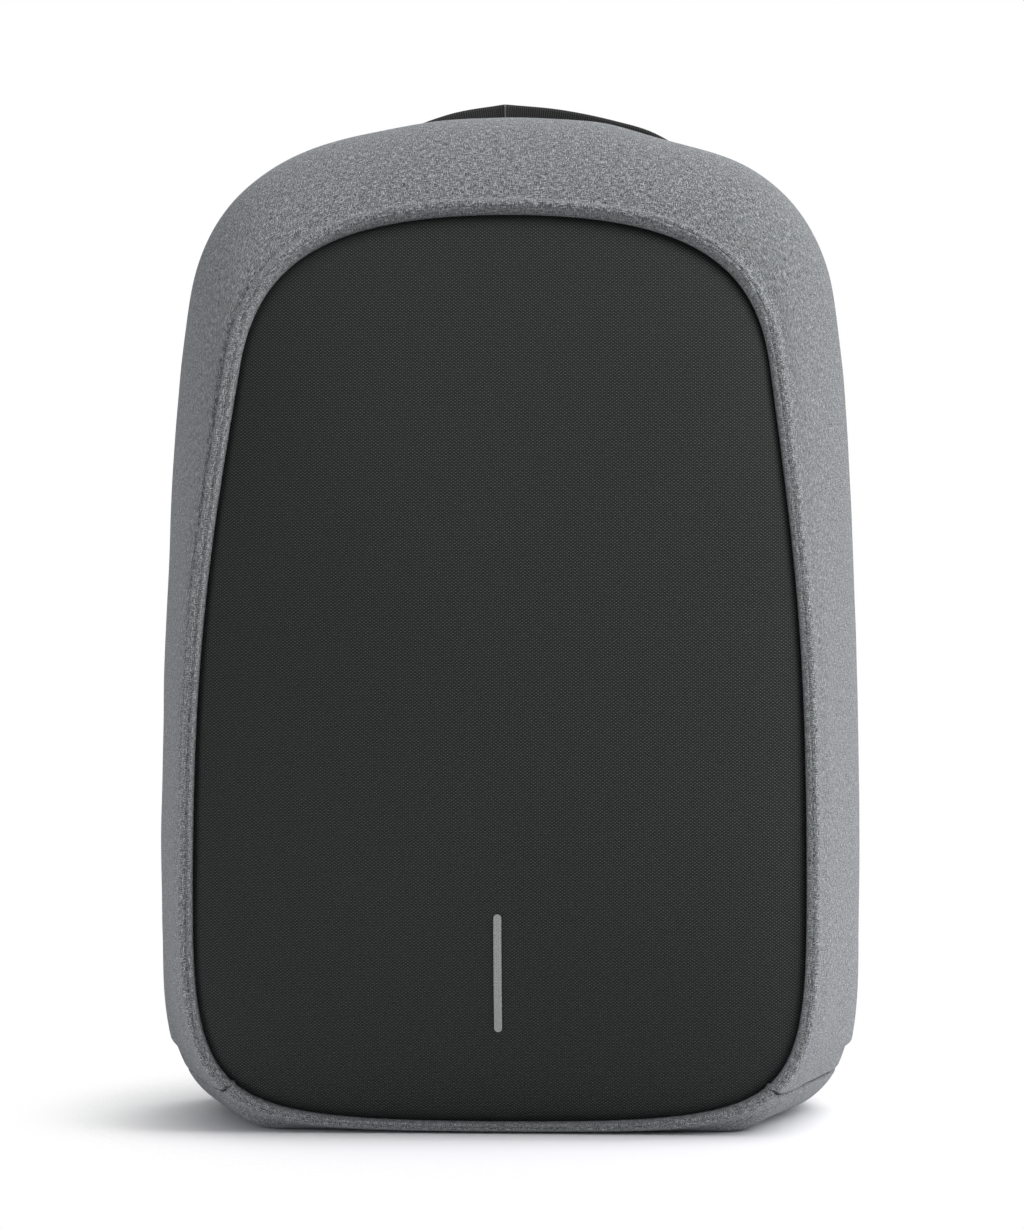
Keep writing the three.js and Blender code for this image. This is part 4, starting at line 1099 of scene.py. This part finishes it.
# The handle's webbing gets the painted highlight along its middle fold
handle_webbing = ribbed("black_handle_webbing", 0.95, (0.018, 0.018, 0.0186), fold_at)
grip.data.materials.append(handle_webbing)
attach(grip, "root")
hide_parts("handle")



def stitch_run(start, end, y):
    """A straight run of stitches at one y, between two points (x, z)."""
    x, z = np.linspace(start, end, 12).T
    return np.stack([x, np.full_like(x, y), z], -1)


# Each end is sewn in a box, from one step of the line to another.
SEWN_ENDS, SEWN_HALF = ((2, 18), (-3, -19)), 7
thread_y = handle_mid + HANDLE_THICK / 2 - 0.1
end_lines = []
for first, last in SEWN_ENDS:
    end_lines += [stitch_run(line[first] + up[first] * side, line[last] + up[last] * side, thread_y)
                  for side in (-SEWN_HALF, SEWN_HALF)]
    end_lines += [stitch_run(line[k] - up[k] * SEWN_HALF, line[k] + up[k] * SEWN_HALF, thread_y)
                  for k in (first, last)]
handle_thread = grains("handle_stitches", end_lines, [(0, 1, 0)] * len(end_lines),
                       black_thread, pitch=2.6, along=1.9, across=0.5, high=0.45)
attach(handle_thread, "root")


# ---- Shoulder straps
# Foam straps in black cloth with bound edges. Each leaves the back panel upwards, folds over and
# hangs behind it, drifting outwards, and ends in a tab of webbing round its adjuster.
STRAP_WIDTH, STRAP_THICK, STRAP_ROOT_X, STRAP_ROOT_Z = 60, 9, 52, 371
STRAP_DROP, STRAP_REACH, STRAP_SPREAD = 204, 46, 38
WEBBING_WIDTH, WEBBING_THICK = 25, 2
BAR, BAR_THICK, SLOT = 4.5, 3.4, 9.4
ADJUSTER_DROP, TAB_RETURN = 12, 8
STRAP_STEPS = 150
STITCH_SIDE, STITCH_HIGH = 0.82, 0.61  # shares of the strap's half width and half thickness
STRAP_ROWS = np.array([
    # down, out behind the panel, sideways, width, thickness
    (0.0, 0.004, 0.0, 0.94, 0.8), (-0.07, 0.008, 0.0, 0.96, 0.9),
    (-0.125, 0.13, 0.0, 1.0, 1.0), (-0.14, 0.42, 0.0, 1.0, 1.0),
    (-0.08, 0.76, 0.02, 1.0, 1.0), (0.08, 0.96, 0.1, 1.0, 1.0),
    (0.3, 1.0, 0.28, 1.0, 1.0), (0.55, 0.92, 0.55, 0.97, 1.0),
    (0.8, 0.77, 0.84, 0.9, 0.95), (0.95, 0.66, 0.97, 0.78, 0.85),
    (1.0, 0.62, 1.0, 0.62, 0.6),
])
strap_face_y = border_back + CLEAR + STRAP_THICK / 2


def strap_curve(values):
    """A smooth line through a column of the table, evenly from row to row."""
    t = np.linspace(0, len(values) - 1, STRAP_STEPS)
    i = np.minimum(t.astype(int), len(values) - 2)
    w = t - i
    p0, p1 = values[np.maximum(i - 1, 0)], values[i]
    p2, p3 = values[i + 1], values[np.minimum(i + 2, len(values) - 1)]
    a, b = (p2 - p0) / 2, (p3 - p1) / 2
    return ((2 * p1 - 2 * p2 + a + b) * w ** 3 + (-3 * p1 + 3 * p2 - 2 * a - b) * w ** 2
            + a * w + p1)


drop, bow, drift, wide, thick = STRAP_ROWS.T
strap_y = strap_curve(strap_face_y + STRAP_REACH * bow - (1 - thick) * STRAP_THICK / 2)
strap_y = np.maximum(strap_y, strap_y[0])
strap_z = strap_curve(STRAP_ROOT_Z - STRAP_DROP * drop)
strap_x = strap_curve(STRAP_ROOT_X + STRAP_SPREAD * drift)
strap_w = strap_curve(STRAP_WIDTH * wide)
strap_t = strap_curve(STRAP_THICK * thick)
dy, dz = np.gradient(strap_y), np.gradient(strap_z)
run = np.hypot(dy, dz)
off_y, off_z = -dz / run, dy / run
BOUND = 0.76  # share of the half width where the binding starts
across = np.array([-1, -0.995, -0.97, -0.9, -0.8, -0.765, -0.745, -0.65, -0.45, -0.22])
across = np.concatenate([across, [0], -across[::-1]])
# Half the thickness across the strap: a small round at the bound edge, a padded crown inside it.
crown = np.where(np.abs(across) >= BOUND,
                 0.62 * np.sqrt(np.clip(1 - ((np.abs(across) - 0.86) / 0.14) ** 2, 0.02, 1)),
                 0.55 + 0.45 * np.sqrt(np.clip(1 - (np.abs(across) / BOUND) ** 2.6, 0, 1)))
section = [*zip(across, crown), *zip(across[::-1], -crown[::-1])]
strap_cloth = black_cloth("black_strap_cloth", (0.0125, 0.0127, 0.0133), 0.6)

down = np.array([strap_face_y + STRAP_REACH * bow[-1], STRAP_ROOT_Z - STRAP_DROP * drop[-1]])
before = np.array([strap_face_y + STRAP_REACH * bow[-2], STRAP_ROOT_Z - STRAP_DROP * drop[-2]])
way = (down - before) / np.linalg.norm(down - before)
out = np.array([-way[1], way[0]])
wrap = BAR_THICK / 2 + CLEAR + WEBBING_THICK / 2
start = down + way * ADJUSTER_DROP - out * wrap
hang_x = STRAP_ROOT_X + STRAP_SPREAD  # the adjusters' distance from the middle plane


def strap_line(hand, across, high):
    """A line down the strap at shares of its half width and its half thickness."""
    return np.stack([hand * strap_x + across * strap_w / 2,
                     strap_y + high * off_y * strap_t / 2,
                     strap_z + high * off_z * strap_t / 2], -1)


def on_adjuster(along, away):
    return start + way * along + out * away


def turn_round(centre, direction):
    angles = np.linspace(-1, 1, 17) * math.pi / 2
    return [(centre + direction * wrap * math.cos(a), -wrap * math.sin(a)) for a in angles]


def ribbon(name, path, width, thick):
    """Webbing that follows points (x, y, z) and keeps its width along X."""
    path = np.asarray(path, float)
    run = np.gradient(path, axis=0)
    size = np.hypot(run[:, 1], run[:, 2])
    off = np.stack([np.zeros(len(path)), -run[:, 2] / size, run[:, 1] / size], -1)
    side = np.array([1.0, 0, 0])
    grid = np.array([path + a * side * width / 2 + b * off * thick / 2 for a, b in RIBBON])
    return skin(name, grid.transpose(1, 0, 2))


strap_webbing = ribbed("black_strap_webbing", 1.5, (0.013, 0.013, 0.0135))
for hand, word in SIDES:
    grid = np.array([strap_line(hand, a, c) for a, c in section]).transpose(1, 0, 2)
    strap = skin("padded_strap_" + word, grid)
    strap.data.materials.append(strap_cloth)
    strap.data.materials.append(binding)
    cols = len(section)
    bound = [max(abs(section[k][0]), abs(section[(k + 1) % cols][0])) > BOUND for k in range(cols)]
    strap.data.polygons.foreach_set("material_index", [
        int(bound[i % cols]) if i < (len(grid) - 1) * cols else 1
        for i in range(len(strap.data.polygons))])
    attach(strap, "root")
    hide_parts("shoulder_strap_" + word)

    lines, outs = [], []
    for side in (-1, 1):
        for face in (-1, 1):
            lines.append(strap_line(hand, side * STITCH_SIDE, face * STITCH_HIGH)[3:-3])
            outs.append(np.stack([0 * off_y, face * off_y, face * off_z], -1)[3:-3])
    thread = grains("strap_stitches_" + word, lines, outs, black_thread,
                    pitch=3.6, along=2.6, across=0.5, high=0.5)
    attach(thread, "root")

    tab_flat = [(-ADJUSTER_DROP - 6, wrap), (-ADJUSTER_DROP / 4, wrap), *turn_round(BAR, 1),
                (-TAB_RETURN, -wrap)]
    tab_path = flow([(hand * hang_x, *on_adjuster(*p)) for p in tab_flat], 70)
    tab = ribbon("strap_tab_" + word, tab_path, WEBBING_WIDTH, WEBBING_THICK)
    tab.data.materials.append(strap_webbing)
    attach(tab, "root")


# ---- Adjusters
# Moulded ladder frames of three bars in satin black plastic. The strap's tab holds the top bar
# and the webbing turns round the middle one.
ADJUSTER_SIDE, ADJUSTER_CORNER, EDGE_ROUND, SLOT_PLAY = 5, 3, 0.8, 1
SHARP = 0.6  # an edge bent by more than this angle is rounded
adjuster_height = 3 * BAR + 2 * SLOT
plastic = Finish("satin_black_plastic", Specular_IOR_Level=0.5)
spot = object_place(plastic)
grain = fine_noise(plastic, spot, 2200.0)
wear = fine_noise(plastic, spot, 60.0, 3.0)
plastic.feed(
    Base_Color=shades(plastic, wear, [
        (0.3, (0.007, 0.007, 0.0072)), (0.7, (0.013, 0.013, 0.0133))]),
    Roughness=wear * 0.2 + 0.32,
    Normal=raised(plastic, 0.25, 0.0001, grain))
inner_half = WEBBING_WIDTH / 2 + SLOT_PLAY
outer_half = inner_half + ADJUSTER_SIDE
columns = [-outer_half, -inner_half, inner_half, outer_half]
rows = [0, BAR, BAR + SLOT, 2 * BAR + SLOT, 2 * BAR + 2 * SLOT, adjuster_height]
for hand, word in SIDES:
    frame_shape = bmesh.new()
    grid = [[frame_shape.verts.new((c, 0, r)) for c in columns] for r in rows]
    for j in range(len(rows) - 1):
        for i in range(3):
            if i != 1 or j % 2 == 0:
                frame_shape.faces.new((grid[j][i], grid[j][i + 1], grid[j + 1][i + 1],
                                       grid[j + 1][i]))
    flat = bmesh.ops.extrude_face_region(frame_shape, geom=frame_shape.faces[:])
    bmesh.ops.translate(frame_shape, verts=[v for v in flat["geom"] if isinstance(
        v, bmesh.types.BMVert)], vec=(0, BAR_THICK, 0))
    bmesh.ops.recalc_face_normals(frame_shape, faces=frame_shape.faces)
    posts = [e for e in frame_shape.edges if abs(e.verts[0].co.y - e.verts[1].co.y) > 1
             and abs(abs(e.verts[0].co.x) - outer_half) < 0.01
             and min(e.verts[0].co.z, adjuster_height - e.verts[0].co.z) < 0.01]
    bmesh.ops.bevel(frame_shape, geom=posts, offset=ADJUSTER_CORNER, segments=5, profile=0.5,
                    affect="EDGES")
    sharp = [e for e in frame_shape.edges if e.calc_face_angle(0) > SHARP]
    bmesh.ops.bevel(frame_shape, geom=sharp, offset=EDGE_ROUND, segments=3, profile=0.5,
                    affect="EDGES")
    for v in frame_shape.verts:
        spot_y, spot_z = on_adjuster(v.co.z, v.co.y - BAR_THICK / 2)
        v.co = (hand * hang_x / 1000 + v.co.x / 1000, spot_y / 1000, spot_z / 1000)
    bmesh.ops.recalc_face_normals(frame_shape, faces=frame_shape.faces)
    ladder_mesh = bpy.data.meshes.new("ladder_" + word)
    frame_shape.to_mesh(ladder_mesh)
    frame_shape.free()
    ladder_mesh.polygons.foreach_set("use_smooth", [True] * len(ladder_mesh.polygons))
    ladder = bpy.data.objects.new("ladder_" + word, ladder_mesh)
    scene.collection.objects.link(ladder)
    firm = ladder.modifiers.new("firm", "WEIGHTED_NORMAL")
    firm.keep_sharp = False
    ladder_mesh.materials.append(plastic.material)
    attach(ladder, "root")
    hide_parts("adjuster_" + word)


# ---- Strap webbing
# Ribbed black webbing, sewn to the back panel low at the side with a boxed cross. It rises behind
# the adjuster, turns over its middle bar and hangs down in front as a loose end, sewn across near
# its tip.
ANCHOR_X, ANCHOR_Z, TAIL_LENGTH, TAIL_LEAN = 122, 42, 78, 3
LOWER = [
    # share of the height up to the adjuster, of the way out to it, and of the way back to its side
    (0, 0, 1), (0.2, 0, 1), (0.32, 0.14, 0.95), (0.5, 0.46, 0.72), (0.75, 0.8, 0.36),
]
BOX_LOW, BOX_TOP, BOX_HALF = 3, 22, WEBBING_WIDTH / 2 - 3  # the sewn box, from the anchor
BOXED_CROSS = [(0, 1), (1, 2), (2, 3), (3, 0), (0, 2), (1, 3)]
sewn_y = border_back + CLEAR + WEBBING_THICK / 2
enter = on_adjuster(adjuster_height + BAR, -wrap)
leave = on_adjuster(adjuster_height + BAR / 2, wrap)
middle_bar = BAR + SLOT
climb = [(hang_x + (ANCHOR_X - hang_x) * side, sewn_y + (enter[0] - sewn_y) * away,
          ANCHOR_Z + (enter[1] - ANCHOR_Z) * up) for up, away, side in LOWER]
through = [(hang_x, *on_adjuster(*p)) for p in [
    (adjuster_height + BAR, -wrap), (middle_bar + BAR, -wrap),
    *turn_round(middle_bar, -1)[::-1], (middle_bar + BAR, wrap),
    (adjuster_height + BAR / 2, wrap)]]
tail = [(hang_x, leave[0] - TAIL_LEAN * s, leave[1] - TAIL_LENGTH * s) for s in (0.3, 0.65, 1)]
route = flow(climb + through + tail, 360)
for hand, word in SIDES:
    path = route * np.array([hand, 1, 1])
    web = ribbon("strap_webbing_" + word, path, WEBBING_WIDTH, WEBBING_THICK)
    web.data.materials.append(strap_webbing)
    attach(web, "root")
    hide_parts("webbing_" + word)

    left, right = hand * ANCHOR_X - BOX_HALF, hand * ANCHOR_X + BOX_HALF
    low, top = ANCHOR_Z + BOX_LOW, ANCHOR_Z + BOX_TOP
    corners = [(left, low), (right, low), (right, top), (left, top)]
    box = [stitch_run(corners[a], corners[b], sewn_y + WEBBING_THICK / 2 - 0.1)
           for a, b in BOXED_CROSS]
    end = path[-8]
    box.append(stitch_run((end[0] - BOX_HALF, end[2]), (end[0] + BOX_HALF, end[2]), end[1] - 1.0))
    box_out = [(0, 1, 0)] * 6 + [(0, -1, 0)]
    thread = grains("webbing_stitches_" + word, box, box_out, black_thread,
                    pitch=2.6, along=1.9, across=0.5, high=0.45)
    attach(thread, "root")
